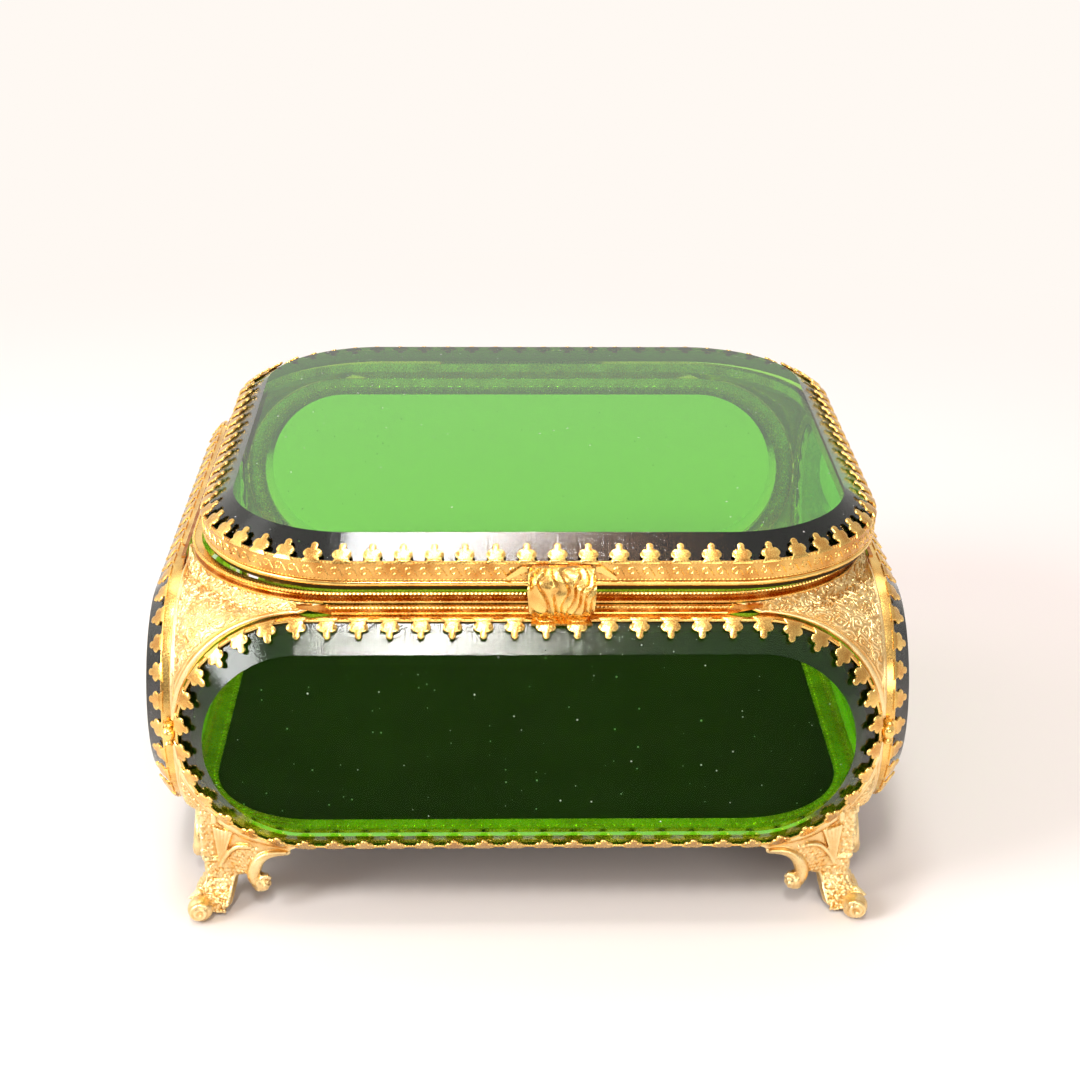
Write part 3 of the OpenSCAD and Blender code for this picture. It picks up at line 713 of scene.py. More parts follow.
def lid_glass_plate(glass, material):
    """The lid glass: a square plate with round corners and a wider bevel."""
    edge = glass.lip + GLASS_PLAY
    section = [(edge + 0.15, LID_GLASS_Z), (edge, LID_GLASS_Z + 0.15),
               (edge, LID_GLASS_Z + glass.lid_edge), (edge + glass.lid_bevel, LID_TOP)]
    build_glass("lid_glass_plate", *RIM, section, "lid_glass", "lid",
                material, lambda shape: shape.shifted(LID_X), 1.0)


def scroll_hook():
    """One wave of the running scroll on the lid band: a curled wire. Y runs along the band."""
    turns = np.linspace(0, 1, 9)
    angle = math.pi * (0.1 + 1.9 * turns)
    reach = 1.05 * (1 - 0.62 * turns)
    curl = np.column_stack([0 * turns, 0.1 + reach * np.cos(angle), reach * np.sin(angle)])
    tail = [(0, 1.9, -1.0), (0, 1.55, -0.5)]
    return tube(np.concatenate([tail, curl]), 0.16, sides=4)


LEDGE = 3.0              # width of the ledge under the lid glass


def lid_frame(glass, metal, material):
    """The lid bezel: a band with a running scroll, a ledge below the glass, and prongs over it."""
    lip_z = LID_GLASS_Z + glass.lid_edge + LIP_RISE
    ledge = LID_GLASS_Z - SEAT_GAP
    tilt = math.degrees(math.atan((LID_TOP - LID_GLASS_Z - glass.lid_edge) / glass.lid_bevel))
    profile = [(0, BAND_Z), (0, lip_z - 0.1), (glass.lip, lip_z - 0.1), (glass.lip, ledge),
               (LEDGE, ledge), (LEDGE, ledge - 0.6), (glass.lip, ledge - 0.6), (glass.lip, BAND_Z)]
    ring = swept(*RIM, softened(profile, 0.18), relief_and_shade=0.5)
    prongs = prong_row(*RIM, lip_z, metal.lid_prong, tilt, metal.prong_pitch, material)
    edge = outline(*RIM)
    rows = [edging(item, at_height(edge, height), pitch, material) for item, height, pitch in (
        (scroll_hook(), (BAND_Z + lip_z) / 2 - 0.1, 3.1),
        (ball(0.24, rings=4, sides=6, stretch=(0.8, 1.3, 1)), lip_z - 0.35, 0.8),
        (ball(0.2, rings=4, sides=6, stretch=(0.8, 1.8, 1)), BAND_Z + 0.3, 0.9))]
    # A skirt hangs from the ledge behind the wire; its dark, dull metal paints shade in the gap
    # above the rim
    low, high = RIM_TOP + 0.25, ledge - 0.5
    skirt = swept(*RIM, [(0.95, low), (0.95, high), (1.35, high), (1.35, low)])
    cover = joined([seat_cover(*RIM, LEDGE, glass.lip, ledge), skirt])
    shape = joined([ring, prongs, *rows, cover]).shifted(LID_X)
    piece = finish_piece("lid_bezel_strip", shape, material, ["lid_bezel"], "lid")
    finish_seat(piece, bpy.data.materials["dull_brass_painted_shade"], len(cover.faces))


def lid_wire_ring(material):
    """The plain round wire under the lid bezel."""
    radius = (wire_high[2] - wire_low[2]) / 2
    centre = (wire_high[2] + wire_low[2]) / 2
    profile = [(radius - radius * math.cos(a), centre + radius * math.sin(a))
               for a in np.linspace(0, 2 * math.pi, 14, endpoint=False)]
    shape = swept(*RIM, profile, relief_and_shade=0.9).shifted(LID_X)
    finish_piece("lid_wire_ring", shape, material, ["lid_wire"], "lid")


# Rim and strips

def rope_bead(pitch, radius):
    """One strand of a rope edge: a slanted bead."""
    bead = ball(radius, rings=5, sides=6, stretch=(1, 1.35 * pitch / radius / 2, 1))
    slant = np.eye(4)
    slant[1, 2] = 0.7
    slant[1, 0] = -0.5
    return bead.moved(slant)


def gallery_moulding(metal, material):
    """The rim: a rope edge above a cove, with a fillet below."""
    h = RIM_TOP - RIM_Z
    cove = [(0.35 + 0.75 * math.sin(math.pi * t), RIM_TOP - 0.75 - (h - 1.25) * t)
            for t in np.linspace(0, 1, 7)]
    profile = [(2.2, RIM_TOP - 0.15), (0.5, RIM_TOP - 0.15), (0.15, RIM_TOP - 0.45)] + cove \
        + [(0.1, RIM_Z + 0.35), (0.1, RIM_Z), (2.2, RIM_Z)]
    # The cove gets the deepest gilt, painted shade in the recess
    relief_and_shade = [0.8, 0.8, 0.9] + [0.1] * len(cove) + [0.8, 0.8, 0.6]
    ring = swept(*RIM, profile[::-1], relief_and_shade=np.array(relief_and_shade[::-1]))
    line = at_height(outline(*RIM, 0.4), RIM_TOP - 0.4)
    rope = edging(rope_bead(metal.rope_pitch, 0.42), line, metal.rope_pitch, material)
    finish_piece("gallery_moulding", joined([ring, rope]), material, ["gallery_rim"])


def edge_strip(side, metal, material):
    """A stamped strip under the rim: flat web, a rope line along its top and a plain line below."""
    turn, out, _ = WALLS[side]
    node = f"{side}_strip"
    low, high = node_box(node)
    run = (high[0] - low[0]) / 2 if side in ("front", "back") else (high[1] - low[1]) / 2
    top = high[2]
    web = [(-0.1, STRIP_Z), (-0.1, top), (0.7, top), (0.7, STRIP_Z)]
    tail = 7.5
    rings = []
    for x, lower in ((-run - tail, top - 0.6), (-run, STRIP_Z),
                     (run, STRIP_Z), (run + tail, top - 0.6)):
        rings.append(np.array([(x, d - out, max(z, lower)) for d, z in web]))
    shapes = [loft(rings, capped=True, relief_and_shade=0.15)]
    bare = node_box("body_hinge_leaf")[1][0] + 1.0 if side == "back" else 0.0
    stretches = [(-run, -bare), (bare, run)] if bare else [(-run, run)]
    for start, stop in stretches:
        line = [(x, -out - 0.1, top - 0.5) for x in np.linspace(start + 0.3, stop - 0.3, 12)]
        count = round((stop - start) / metal.rope_pitch)
        bead = rope_bead(metal.rope_pitch, 0.36)
        shapes.append(repeated(bead, line, count, material, closed=False))
        lower = [(x, -out - 0.12, STRIP_Z + 0.42) for x in np.linspace(start, stop, 8)]
        shapes.append(tube(lower, 0.26))
    for end in (-1, 1):
        curl = [(end * (run + 0.2 + 0.9 * math.sin(a)), -out - 0.15 - 0.5 * (1 - math.cos(a)),
                 top - 0.5 + 0.7 * (1 - math.cos(a))) for a in np.linspace(0, 2.2, 6)]
        shapes.append(tube(curl, np.linspace(0.32, 0.16, 6), sides=6))
    shape = joined(shapes).moved(turned("Z", turn))
    finish_piece(f"{side}_rope_strip", shape, material, [node])


# Corner plates

def conic(p0, k, p1, w, t):
    """A point on a curve between two ends that is pulled towards a corner."""
    below = (1 - t) ** 2 + 2 * w * t * (1 - t) + t * t
    return ((1 - t) ** 2 * p0 + 2 * w * t * (1 - t) * k + t * t * p1) / below


def corner_level(z, half_x, half_y, in_front, in_side, roundness, steps):
    """One level of a corner plate, from the front wall round to the side wall."""
    total = half_x + half_y
    reach = total - 0.586 * roundness
    w = (2 * total - in_front - in_side - 2 * reach) / (2 * (reach - total))
    level = []
    for t in steps:
        x = conic(half_x - in_front, half_x, half_x, w, t)
        y = conic(half_y, half_y, half_y - in_side, w, t)
        level.append((x, -y, z))
    return level


HEX_ROW = 0.87           # height of a row in a lattice of hexagons, as a share of its cell


def scroll_relief(across, up, cell, pitch):
    """Height from 0 to 1 of an all-over scroll: a thin-lined spiral in each cell of a lattice."""
    across, up = (across + 0.45 * np.sin(1.1 * up + 0.4 * across) + 0.2 * np.sin(2.9 * up),
                  up + 0.45 * np.sin(1.3 * across - 0.5 * up) + 0.2 * np.sin(2.6 * across))
    best = np.full(across.shape, 1e9)
    height = np.zeros(across.shape)
    for i in range(int(up.min() / cell) - 2, int(up.max() / cell / HEX_ROW) + 3):
        for j in range(int(across.min() / cell) - 2, int(across.max() / cell) + 3):
            cx = (j + 0.5 * (i % 2)) * cell + 0.22 * cell * math.sin(12.9 * i + 7.7 * j)
            cy = i * cell * HEX_ROW + 0.22 * cell * math.sin(4.1 * i - 9.3 * j)
            dx, dy = across - cx, up - cy
            r = np.hypot(dx, dy)
            hand = 1 if (i + j) % 2 else -1
            around = np.arctan2(dy, dx)
            wave = np.cos(2 * math.pi * r / pitch - hand * around + 1.7 * i + j)
            leaf = 0.35 * np.cos(5 * around + 3 * r + i)
            nearer = r < best
            best = np.where(nearer, r, best)
            height = np.where(nearer, wave + leaf * np.clip(r / cell * 2.4 - 0.5, 0, 1), height)
    return np.clip((height - 0.1) / 0.8, 0, 1)


EDGE_R = PANEL_R + 0.26                                     # arc of a plate's edge
ARC_IN = 1.0 + PANEL_R                                      # its centre, in from the corner
SCROLL_CELL, SCROLL_PITCH, SCROLL_HEIGHT = 3.3, 0.95, 0.24  # in mm
PLATE = 0.55                                                # thickness below the relief


INSIDE = (30, -30)       # a point inside the casket, which a front right plate faces away from


def plate_skin(grid):
    """Raises scrolls and a border roll on a grid of points, and closes it as a plate."""
    across_step = np.gradient(grid, axis=1)
    normal = np.cross(across_step, np.gradient(grid, axis=0))
    normal /= np.linalg.norm(normal, axis=2)[:, :, None]
    normal *= np.sign((normal[:, :, :2] * (grid[:, :, :2] - INSIDE)).sum())
    steps = np.linalg.norm(np.diff(grid, axis=1), axis=2)
    across = np.concatenate([np.zeros((len(grid), 1)), np.cumsum(steps, axis=1)], axis=1)
    width = across[:, -1:]
    middle = grid[:, grid.shape[1] // 2]
    climb = np.concatenate([[0], np.cumsum(np.linalg.norm(np.diff(middle, axis=0), axis=1))])
    edge_slope = np.abs(np.gradient(width[:, 0] / 2) / np.maximum(np.gradient(climb), 0.01))
    from_edge = np.minimum(across, width - across) / np.hypot(1, edge_slope)[:, None]
    up = np.repeat(climb[:, None], grid.shape[1], axis=1)
    field = scroll_relief(across - width / 2, up, SCROLL_CELL, SCROLL_PITCH)
    roll = np.sqrt(np.clip(1 - ((from_edge - 0.75) / 0.75) ** 2, 0, 1))
    bead = np.clip(1 - np.abs(from_edge - 1.95) / 0.3, 0, 1)
    inside = np.clip((from_edge - 2.3) / 0.3, 0, 1)
    height = 0.55 * roll + 0.25 * bead + field * inside * SCROLL_HEIGHT
    outer = grid + normal * (height[:, :, None] - 0.02)
    inner = grid - normal * PLATE
    level = np.clip(0.35 + 0.65 * np.maximum(np.maximum(roll, bead), field * inside), 0, 1)
    return closed_plate(outer, inner, level)


def closed_plate(outer, inner, level, coarse=12):
    """Closes a fine outer grid with an inner one that keeps only some columns."""
    rows, columns, _ = outer.shape
    kept = sorted({*range(0, columns, coarse), columns - 1})
    back = inner[:, kept]
    points = np.concatenate([outer.reshape(-1, 3), back.reshape(-1, 3)])
    relief_and_shade = np.concatenate([level.reshape(-1), np.full(rows * len(kept), 0.3)])
    front_id = np.arange(rows * columns).reshape(rows, columns)
    back_id = np.arange(rows * len(kept)).reshape(rows, len(kept)) + rows * columns
    def quads(ids):
        corners = [ids[:-1, :-1], ids[1:, :-1], ids[1:, 1:], ids[:-1, 1:]]
        return np.stack(corners, axis=-1).reshape(-1, 4)
    faces = quads(front_id).tolist() + quads(back_id)[:, ::-1].tolist()
    for i in range(rows - 1):
        faces.append((front_id[i, 0], back_id[i, 0], back_id[i + 1, 0], front_id[i + 1, 0]))
        faces.append((front_id[i, -1], front_id[i + 1, -1], back_id[i + 1, -1], back_id[i, -1]))
    for k in range(len(kept) - 1):
        span = range(kept[k], kept[k + 1] + 1)
        faces.append((*(front_id[0, j] for j in span), back_id[0, k + 1], back_id[0, k]))
        faces.append((*(front_id[-1, j] for j in reversed(span)),
                      back_id[-1, k], back_id[-1, k + 1]))
    return Shape(points, [tuple(int(i) for i in face) for face in faces], relief_and_shade)


def upper_corner_plate():
    """The curved, scrolled plate above the middle of a corner, for the front right corner."""
    steps = np.linspace(0, 1, 330)
    top_z = RIM_Z - 0.05
    reach_top = CORNER_R - 1.9
    grid = []
    for s in np.linspace(0, 1, 185):
        turn = min(1.0, s / 0.9)
        blend = max(0.0, (s - 0.9) / 0.1)
        angle = math.radians(6 + 84 * turn)
        z = PANEL_Z + EDGE_R * math.sin(angle)
        z += (top_z - z) * blend
        beside = ARC_IN - EDGE_R * math.cos(angle)
        beside += (reach_top - beside) * blend
        draw_x, draw_y = (WALL_X - RIM_X) * s * s, (WALL_Y - RIM_Y) * s * s
        front, side = beside - draw_x, beside - draw_y
        roundness = (1 + 0.16 * s) * (front + side) / 2
        grid.append(corner_level(z, WALL_X - draw_x, WALL_Y - draw_y, front, side, roundness,
                                 steps))
    return plate_skin(np.array(grid))


def lower_corner_plate():
    """The narrow plate between two bezels, from just below the middle down to the foot."""
    steps = np.linspace(0, 1, 60)
    grid = []
    for angle in np.radians(np.linspace(47, 6, 120)):
        beside = ARC_IN - EDGE_R * math.cos(angle)
        z = PANEL_Z - EDGE_R * math.sin(angle)
        grid.append(corner_level(z, WALL_X, WALL_Y, beside, beside, beside, steps))
    return plate_skin(np.array(grid))


CORNERS = {"front_right": (1, 1), "front_left": (-1, 1),
           "back_right": (1, -1), "back_left": (-1, -1)}


def to_corner(shape, corner):
    """A front right shape, mirrored to another corner."""
    return shape.moved(np.diag([*CORNERS[corner], 1.0, 1.0]))


def four_corners(shape, name, node, material):
    """Mirrors a front right shape to all four corners, one piece each."""
    for corner in CORNERS:
        finish_piece(f"{corner}_{name}", to_corner(shape, corner), material,
                     [node.format(corner=corner)])


def post_shape():
    """A small turned post with a bead and two collars, where two bezels meet."""
    low, high = node_box("corner_posts")
    x, y = high[0] - 1.5, -high[1] + 1.5
    half = (high[2] - low[2]) / 2
    profile = [(0.0, -half), (0.9, -half), (1.1, -half + 0.5), (0.75, -half + 1.0), (0.7, -1.5),
               (1.2, -1.1), (1.5, -0.5), (1.55, 0), (1.5, 0.5), (1.2, 1.1), (0.7, 1.5),
               (0.75, half - 1.0), (1.1, half - 0.5), (0.9, half), (0.0, half)]
    turns = np.linspace(0, 2 * math.pi, 16, endpoint=False)
    rings = [np.array([(x + max(r, 0.02) * math.cos(a), y + max(r, 0.02) * math.sin(a),
                        PANEL_Z + z) for a in turns]) for r, z in profile]
    return loft(rings, capped=True)


def corner_beads(material):
    """The four posts, as one piece."""
    posts = joined([to_corner(post_shape(), corner) for corner in CORNERS])
    finish_piece("corner_beads", posts, material, ["corner_posts"])


# Feet: a, b are distances inwards from the corner of the body, z is the height

FOOT_TOP = node_box("base_frame")[0][2]
FOOT_VOXEL = 0.21        # size of the cells that the cast skin is fused from


SWAP = np.array([[0, 1, 0, 0], [1, 0, 0, 0], [0, 0, 1, 0], [0, 0, 0, 1.0]])


def ribbon(one, two, thick):
    """A slab between two lines of points, as thick as a vector."""
    thick = np.array(thick, dtype=float)
    rings = [np.array([p, q, q + thick, p + thick])
             for p, q in zip(np.array(one, float), np.array(two, float))]
    return loft(rings, capped=True)


def under_bezel(a, gap=0.35):
    """Height of the lower edge of a wall bezel at a distance from the corner."""
    return PANEL_Z - math.sqrt((PANEL_R + gap) ** 2 - (ARC_IN - a) ** 2)


# The leg at some heights: its outer and front faces, and how far its front and side reach inwards
LEG_Z = (24.4, 18.6, 13.6, 10.4, 7.5, 5.8, 4.6, 3.6, 2.0, 0.1)
OUTER_FACE = (3.7, 4.0, 4.3, 4.6, 4.9, 4.3, 3.2, 2.4, 2.1, 2.4)
FRONT_FACE = (3.3, 3.5, 3.7, 3.8, 3.5, 2.7, 1.7, 0.8, -0.6, -1.6)
LEG_REACH = (13.0, 13.0, 13.0, 12.4, 11.0, 10.6, 10.4, 10.1, 9.6, 8.9)
SIDE_REACH = (13.0, 13.0, 13.0, 12.4, 11.0, 9.8, 8.8, 8.0, 6.6, 5.2)


def leg_at(z, table):
    """A size of the leg at a height."""
    return float(np.interp(z, LEG_Z[::-1], table[::-1]))


def wing_face(a):
    """Depth of a wing's face: set in beside the leg and nearer the wall further along."""
    return float(np.interp(a, (9.0, 17.0), (4.2, 1.6)))


def foot_wing():
    """One wing of a foot with its moulding, flutes, pebbled field and scroll arm."""
    edge = [(4.2, 13.0), (4.4, 10.4), (4.6, 8.0), (8.0, 7.6), (11.0, 7.4), (13.2, 8.0),
            (14.6, 8.6), (15.2, 10.2), (17.0, 12.5), (20.0, 14.4), (24.0, 15.0), (26.8, 16.0)]
    low, high = [], []
    for a in np.linspace(4.2, 26.8, 40):
        face = wing_face(a)
        low.append((a, face, np.interp(a, *zip(*edge))))
        high.append((a, face, min(26.6, under_bezel(a) - 0.2)))
    shapes = [ribbon(low, high, (0, 2.0, 0))]
    bar = [(7.3, 22.3, 1.3), (10.8, 20.5, 1.7), (14.0, 18.9, 1.55), (18.9, 17.3, 1.1),
           (23.7, 16.3, 0.8), (26.4, 16.4, 0.45)]
    path = smooth_path([(a, wing_face(a) + 0.5, z) for a, z, _ in bar], 30)
    radii = np.interp(path[:, 0], [k[0] for k in bar], [k[2] for k in bar])
    shapes.append(tube(path, radii, sides=14))
    shapes.append(tube([(7.1, 3.3, 23.2), (7.1, 3.2, 21.2)], 0.75))
    apex = np.array([7.9, 3.6, 9.9])
    for k in range(5):
        start = np.array([7.0 + 0.92 * k, 3.6 - 0.08 * k, 19.6 - 0.3 * k])
        line = [start + (apex - start) * t for t in np.linspace(0, 0.93, 6)]
        shapes.append(tube(line, np.linspace(0.42, 0.22, 6)))
    rib = smooth_path([(7.9, 3.5, 9.7), (8.9, 3.4, 11.7), (10.3, 3.1, 13.8), (12.0, 2.7, 15.2),
                       (14.6, 2.2, 15.5)], 16)
    shapes.append(tube(rib, np.linspace(0.38, 0.62, 16)))
    arm = [(23.4, 14.3, 0.7), (20.4, 14.3, 1.05), (18.2, 13.6, 1.2), (16.6, 12.1, 1.4),
           (15.8, 10.2, 1.55), (15.5, 8.5, 1.6), (16.0, 7.2, 1.6)]
    path = smooth_path([(a, 1.9, z) for a, z, _ in arm], 30)
    radii = np.interp(np.linspace(0, 1, 30), np.linspace(0, 1, len(arm)), [k[2] for k in arm])
    shapes.append(tube(path, radii, sides=14))
    shapes.append(tube(path[:26] + [-0.45, -1.0, 0.35], 0.34))
    berry = np.array([17.1, 1.9, 6.7])
    shapes.append(ball(2.15, berry, rings=12, sides=16))
    shapes.append(tube([(17.4, 1.0, 8.3), (18.6, 0.9, 8.7), (19.2, 1.2, 8.0)], [0.7, 0.6, 0.4]))
    rng = np.random.default_rng(4)
    for _ in range(26):
        tilt = rng.normal(size=3)
        tilt /= np.linalg.norm(tilt)
        shapes.append(ball(0.42, berry + 2.0 * tilt))
    def in_field(a, z):
        strip = a < 6.6 - 0.25 * max(0.0, 14 - z) and 11.0 < z < 24.6
        wedge = (8.3 < z < 15.2
                 and 8.9 + 0.62 * (z - 11.0) < a < 14.2 + 0.55 * max(0.0, z - 10.5))
        return a > 3.9 and (strip or wedge)
    shapes += pebbles(in_field, lambda a, z: wing_face(a), 4, (3.6, 19.0), (8.0, 24.8))
    return joined(shapes)


def pebbles(inside, face, seed, along, up):
    """Small raised grains, packed about 0.8 mm apart, wherever a field says."""
    rng = np.random.default_rng(seed)
    shapes = []
    for i, z in enumerate(np.arange(*up, 0.78)):
        for a in np.arange(*along, 0.88):
            a = a + 0.44 * (i % 2) + rng.uniform(-0.14, 0.14)
            height = z + rng.uniform(-0.14, 0.14)
            if inside(a, height):
                shapes.append(ball(rng.uniform(0.38, 0.5), (a, face(a, height), height)))
    return shapes


def foot_leg():
    """The angle-shaped leg from the waist down, swept forwards to the toe, with pebbled faces."""
    rings = []
    for z in np.linspace(12.0, 1.3, 24):
        a, b, reach, back = (leg_at(z, t) for t in (OUTER_FACE, FRONT_FACE, LEG_REACH, SIDE_REACH))
        rings.append(np.array([(a, b, z), (a + 0.3, back, z), (a + 2.4, back + 0.8, z),
                               (a + 3.2, b + 3.4, z), (reach + 1.0, b + 2.6, z),
                               (reach, b + 0.3, z)]))
    shapes = [loft(rings, capped=True)]
    front = pebbles(lambda a, z: leg_at(z, OUTER_FACE) + 0.4 < a < leg_at(z, LEG_REACH) - 0.3,
                    lambda a, z: leg_at(z, FRONT_FACE), 7, (1.0, 13.0), (1.0, 11.2))
    side = pebbles(lambda b, z: leg_at(z, FRONT_FACE) + 0.4 < b < leg_at(z, SIDE_REACH) - 0.3,
                   lambda b, z: leg_at(z, OUTER_FACE), 8, (-1.4, 13.0), (1.0, 11.2))
    crease = smooth_path([(leg_at(z, LEG_REACH) - 0.1, leg_at(z, FRONT_FACE) + 0.1, z)
                          for z in (8.0, 6.0, 4.0, 2.6, 1.9)], 14)
    return joined(shapes + front + [joined(side).moved(SWAP), tube(crease, 0.4)])


def foot_toe():
    """The round toe with an oval spiral in its face, and the spur above it."""
    centre, radius = np.array([3.9, -2.65, 2.75]), 2.85
    spiral = []
    for t in np.linspace(0, 1, 44):
        angle = 2 * math.pi * 1.7 * t + 0.4
        reach = 2.15 * (1 - 0.66 * t)
        across, up = reach * math.cos(angle), 0.8 * reach * math.sin(angle)
        across, up = across * 0.9 - up * 0.3, up + across * 0.35
        depth = math.sqrt(radius ** 2 - across ** 2 - up ** 2)
        spiral.append(centre + np.array([across, -depth, up + 0.25]))
    shapes = [ball(radius, centre, rings=14, sides=20),
              tube(spiral, np.linspace(0.55, 0.38, 44)),
              tube([(3.4, 0.6, 5.0), (2.2, -0.2, 4.5), (1.3, -0.8, 4.3)], [1.0, 0.7, 0.3])]
    return joined(shapes)


def cast_foot():
    """A whole foot as one cast skin, in the frame of the front right corner."""
    wing = foot_wing()
    low, _ = node_box("front_right_foot")
    plan = [(4, 4), (14.5, 6), (17, 11), (13, 17), (6, 14.5)]
    lug = loft([np.array([(a, b, z) for a, b in plan]) for z in (FOOT_TOP - 2.0, FOOT_TOP - 0.4)],
               capped=True)
    raw = joined([wing, wing.moved(SWAP), foot_leg(), foot_toe(), lug])
    place = np.array([[-1, 0, 0, WALL_X], [0, 1, 0, -WALL_Y], [0, 0, 1, 0], [0, 0, 0, 1.0]])
    skin = fused(raw.moved(place), FOOT_VOXEL)
    skin.points[:, 2] = np.maximum(skin.points[:, 2], low[2])
    return skin


def smooth_path(points, count):
    """Points at even steps of a smooth curve through the given ones."""
    points = np.array(points, dtype=float)
    n = len(points)
    result = []
    for s in np.linspace(0, n - 1, count):
        i = min(int(s), n - 2)
        t = s - i
        p0, p1, p2, p3 = (points[min(max(i + k, 0), n - 1)] for k in (-1, 0, 1, 2))
        result.append(0.5 * (2 * p1 + (p2 - p0) * t + (2 * p0 - 5 * p1 + 4 * p2 - p3) * t ** 2
                             + (3 * p1 - p0 - 3 * p2 + p3) * t ** 3))
    return np.array(result)


def fused(shape, voxel_mm):
    """Fuses overlapping closed shapes into one soft skin, whose hollows get a low value: deeper
    gilt and painted shade.
    """
    mesh = mesh_of("raw", shape)
    holder = bpy.data.objects.new("raw", mesh)
    bpy.context.scene.collection.objects.link(holder)
    remesh = holder.modifiers.new("remesh", "REMESH")
    remesh.mode = "VOXEL"
    remesh.voxel_size = voxel_mm * MM
    made = evaluated(holder)
    points = (read_rows(made.vertices, "co", 3) / MM).astype(float)
    faces = [tuple(p.vertices) for p in made.polygons]
    edges = read_rows(made.edges, "vertices", 2, np.int32)
    bpy.data.objects.remove(holder)
    bpy.data.meshes.remove(mesh)
    bpy.data.meshes.remove(made)
    points = points + 0.5 * (neighbour_mean(points, edges) - points)
    return Shape(points, faces, hollows(points, faces, edges))


def neighbour_mean(values, edges):
    """The mean of each vertex's neighbours."""
    total = np.zeros_like(values)
    count = np.zeros(len(values))
    for a, b in ((0, 1), (1, 0)):
        np.add.at(total, edges[:, a], values[edges[:, b]])
        np.add.at(count, edges[:, a], 1)
    shape = (-1,) + (1,) * (values.ndim - 1)
    return total / np.maximum(count, 1).reshape(shape)


def hollows(points, faces, edges):
    """A value from 0 in a hollow to 1 on a ridge, from how far smoothing moves a vertex. It darkens
    the gilt in hollows, partly as deeper gilding, partly as painted shade.
    """
    quads = np.array([f if len(f) == 4 else (*f, f[-1]) for f in faces])
    normal = np.cross(points[quads[:, 2]] - points[quads[:, 0]],
                      points[quads[:, 3]] - points[quads[:, 1]])
    total = np.zeros_like(points)
    for k in range(4):
        np.add.at(total, quads[:, k], normal)
    total /= np.maximum(np.linalg.norm(total, axis=1), 1e-9)[:, None]
    smooth = points
    for _ in range(8):
        smooth = neighbour_mean(smooth, edges)
    depth = ((points - smooth) * total).sum(axis=1)
    return np.clip(0.6 + depth / 0.25, 0, 1)


# Base panel

LINING_X, LINING_Y, LINING_R = 71.4, 64.4, 24.0      # half sizes and corner of the velvet


def base_lining(material):
    """The board in the bottom, with the velvet rolled over its edge. A bare margin of the board
    runs round it, under the gilt border."""
    low, high = node_box("base_panel")
    top = high[2]
    board = [(high[0], high[1], CORNER_R - 5.5, low[2]),
             (high[0], high[1], CORNER_R - 5.5, top - 0.9)]
    velvet = [(0, 0, top - 0.9), (0, 0, top - 0.35), (0.15, 0, top - 0.12), (0.5, 0, top),
              (6, 6, top)]
    board += [(LINING_X - inset, LINING_Y - inset, LINING_R - tighter, z)
              for inset, tighter, z in velvet]
    panel = loft([ring_at(*level) for level in board], capped=True)
    finish_piece("base_lining", panel, material, ["base_panel"])


def ring_at(half_x, half_y, radius, height):
    """A level round-cornered ring, with the same number of points for every size."""
    flat = outline(half_x, half_y, radius, straight_step=ONE_STEP)
    return at_height(flat, height)


def base_border(material):
    """The base frame. Its gilt border laps the lining and carries a line of embossed dashes."""
    low, high = node_box("base_frame")
    half_x, half_y, radius, foot, top = high[0], high[1], CORNER_R - 2, low[2], high[2]
    middle = (foot + top) / 2
    def rings_in(levels):
        return [(half_x - d, half_y - d, radius - d, z) for d, z in levels]
    flange = [(LINING_X + 0.1, LINING_Y + 0.1, LINING_R, z) for z in (top - 0.1, top - 0.5)]
    section = (rings_in([(2.6, foot), (2.6, middle), (0, middle), (0, top), (3.2, top - 0.1)])
               + flange
               + rings_in([(3.2, top - 0.5), (3.2, foot + 0.8), (4.6, foot + 0.8), (4.6, foot)]))
    ring = loft([ring_at(*level) for level in section], closed_profile=True, relief_and_shade=0.85)
    line = ring_at((half_x + LINING_X) / 2 - 1.0, (half_y + LINING_Y) / 2 - 0.6, 28.0, top - 0.05)
    dash = ball(0.34, stretch=(1.0, 2.0, 0.8), sides=8)
    border = joined([ring, edging(dash, line, DASH_PITCH, material)])
    finish_piece("base_border", border, material, ["base_frame"])


# Clasp

def clasp_plate():
    """The bowed spring tab with its embossed leaves, and the finger lip at its lower end."""
    low, high = node_box("clasp_tab")
    middle = (low[0] + high[0]) / 2
    half = (high[0] - low[0]) / 2
    top, foot, back, front = high[2], low[2], high[1], low[1]
    spine = [(back + 0.1, top - 0.1), (back - 1.5, top - 0.1), (back - 2.3, top - 0.5),
             (front + 0.9, top - 2.4), (front + 0.45, top - 4.6), (front + 0.9, foot + 3.4),
             (back - 2.0, foot + 1.5), (back - 2.3, foot + 0.8), (front + 1.1, foot + 0.1)]
    path = smooth_path(spine, 90)
    tangent = np.gradient(path, axis=0)
    tangent /= np.linalg.norm(tangent, axis=1)[:, None]
    out = np.column_stack([tangent[:, 1], -tangent[:, 0]])
    s = np.linspace(0, 1, len(path))
    wide = half * np.interp(s, [0, 0.12, 0.3, 0.5, 0.72, 0.86, 1],
                            [0.84, 0.86, 0.97, 1.0, 0.9, 0.82, 0.9])
    across = np.linspace(-1, 1, 80)
    leaf = leaf_relief(across[None, :] * half, s[:, None] * 15.0)
    leaf *= (np.clip((s - 0.17) / 0.06, 0, 1) * np.clip((0.78 - s) / 0.08, 0, 1))[:, None]
    x = middle + wide[:, None] * across[None, :]
    crown = 0.35 * (1 - across[None, :] ** 2) * np.sin(math.pi * s)[:, None]
    outer, inner = (np.stack([x, path[:, :1] + out[:, :1] * lift, path[:, 1:] + out[:, 1:] * lift],
                             axis=-1) for lift in (crown + 0.75 * leaf, crown - 0.6))
    return closed_plate(outer, inner, 0.6 + 0.4 * leaf, coarse=6)


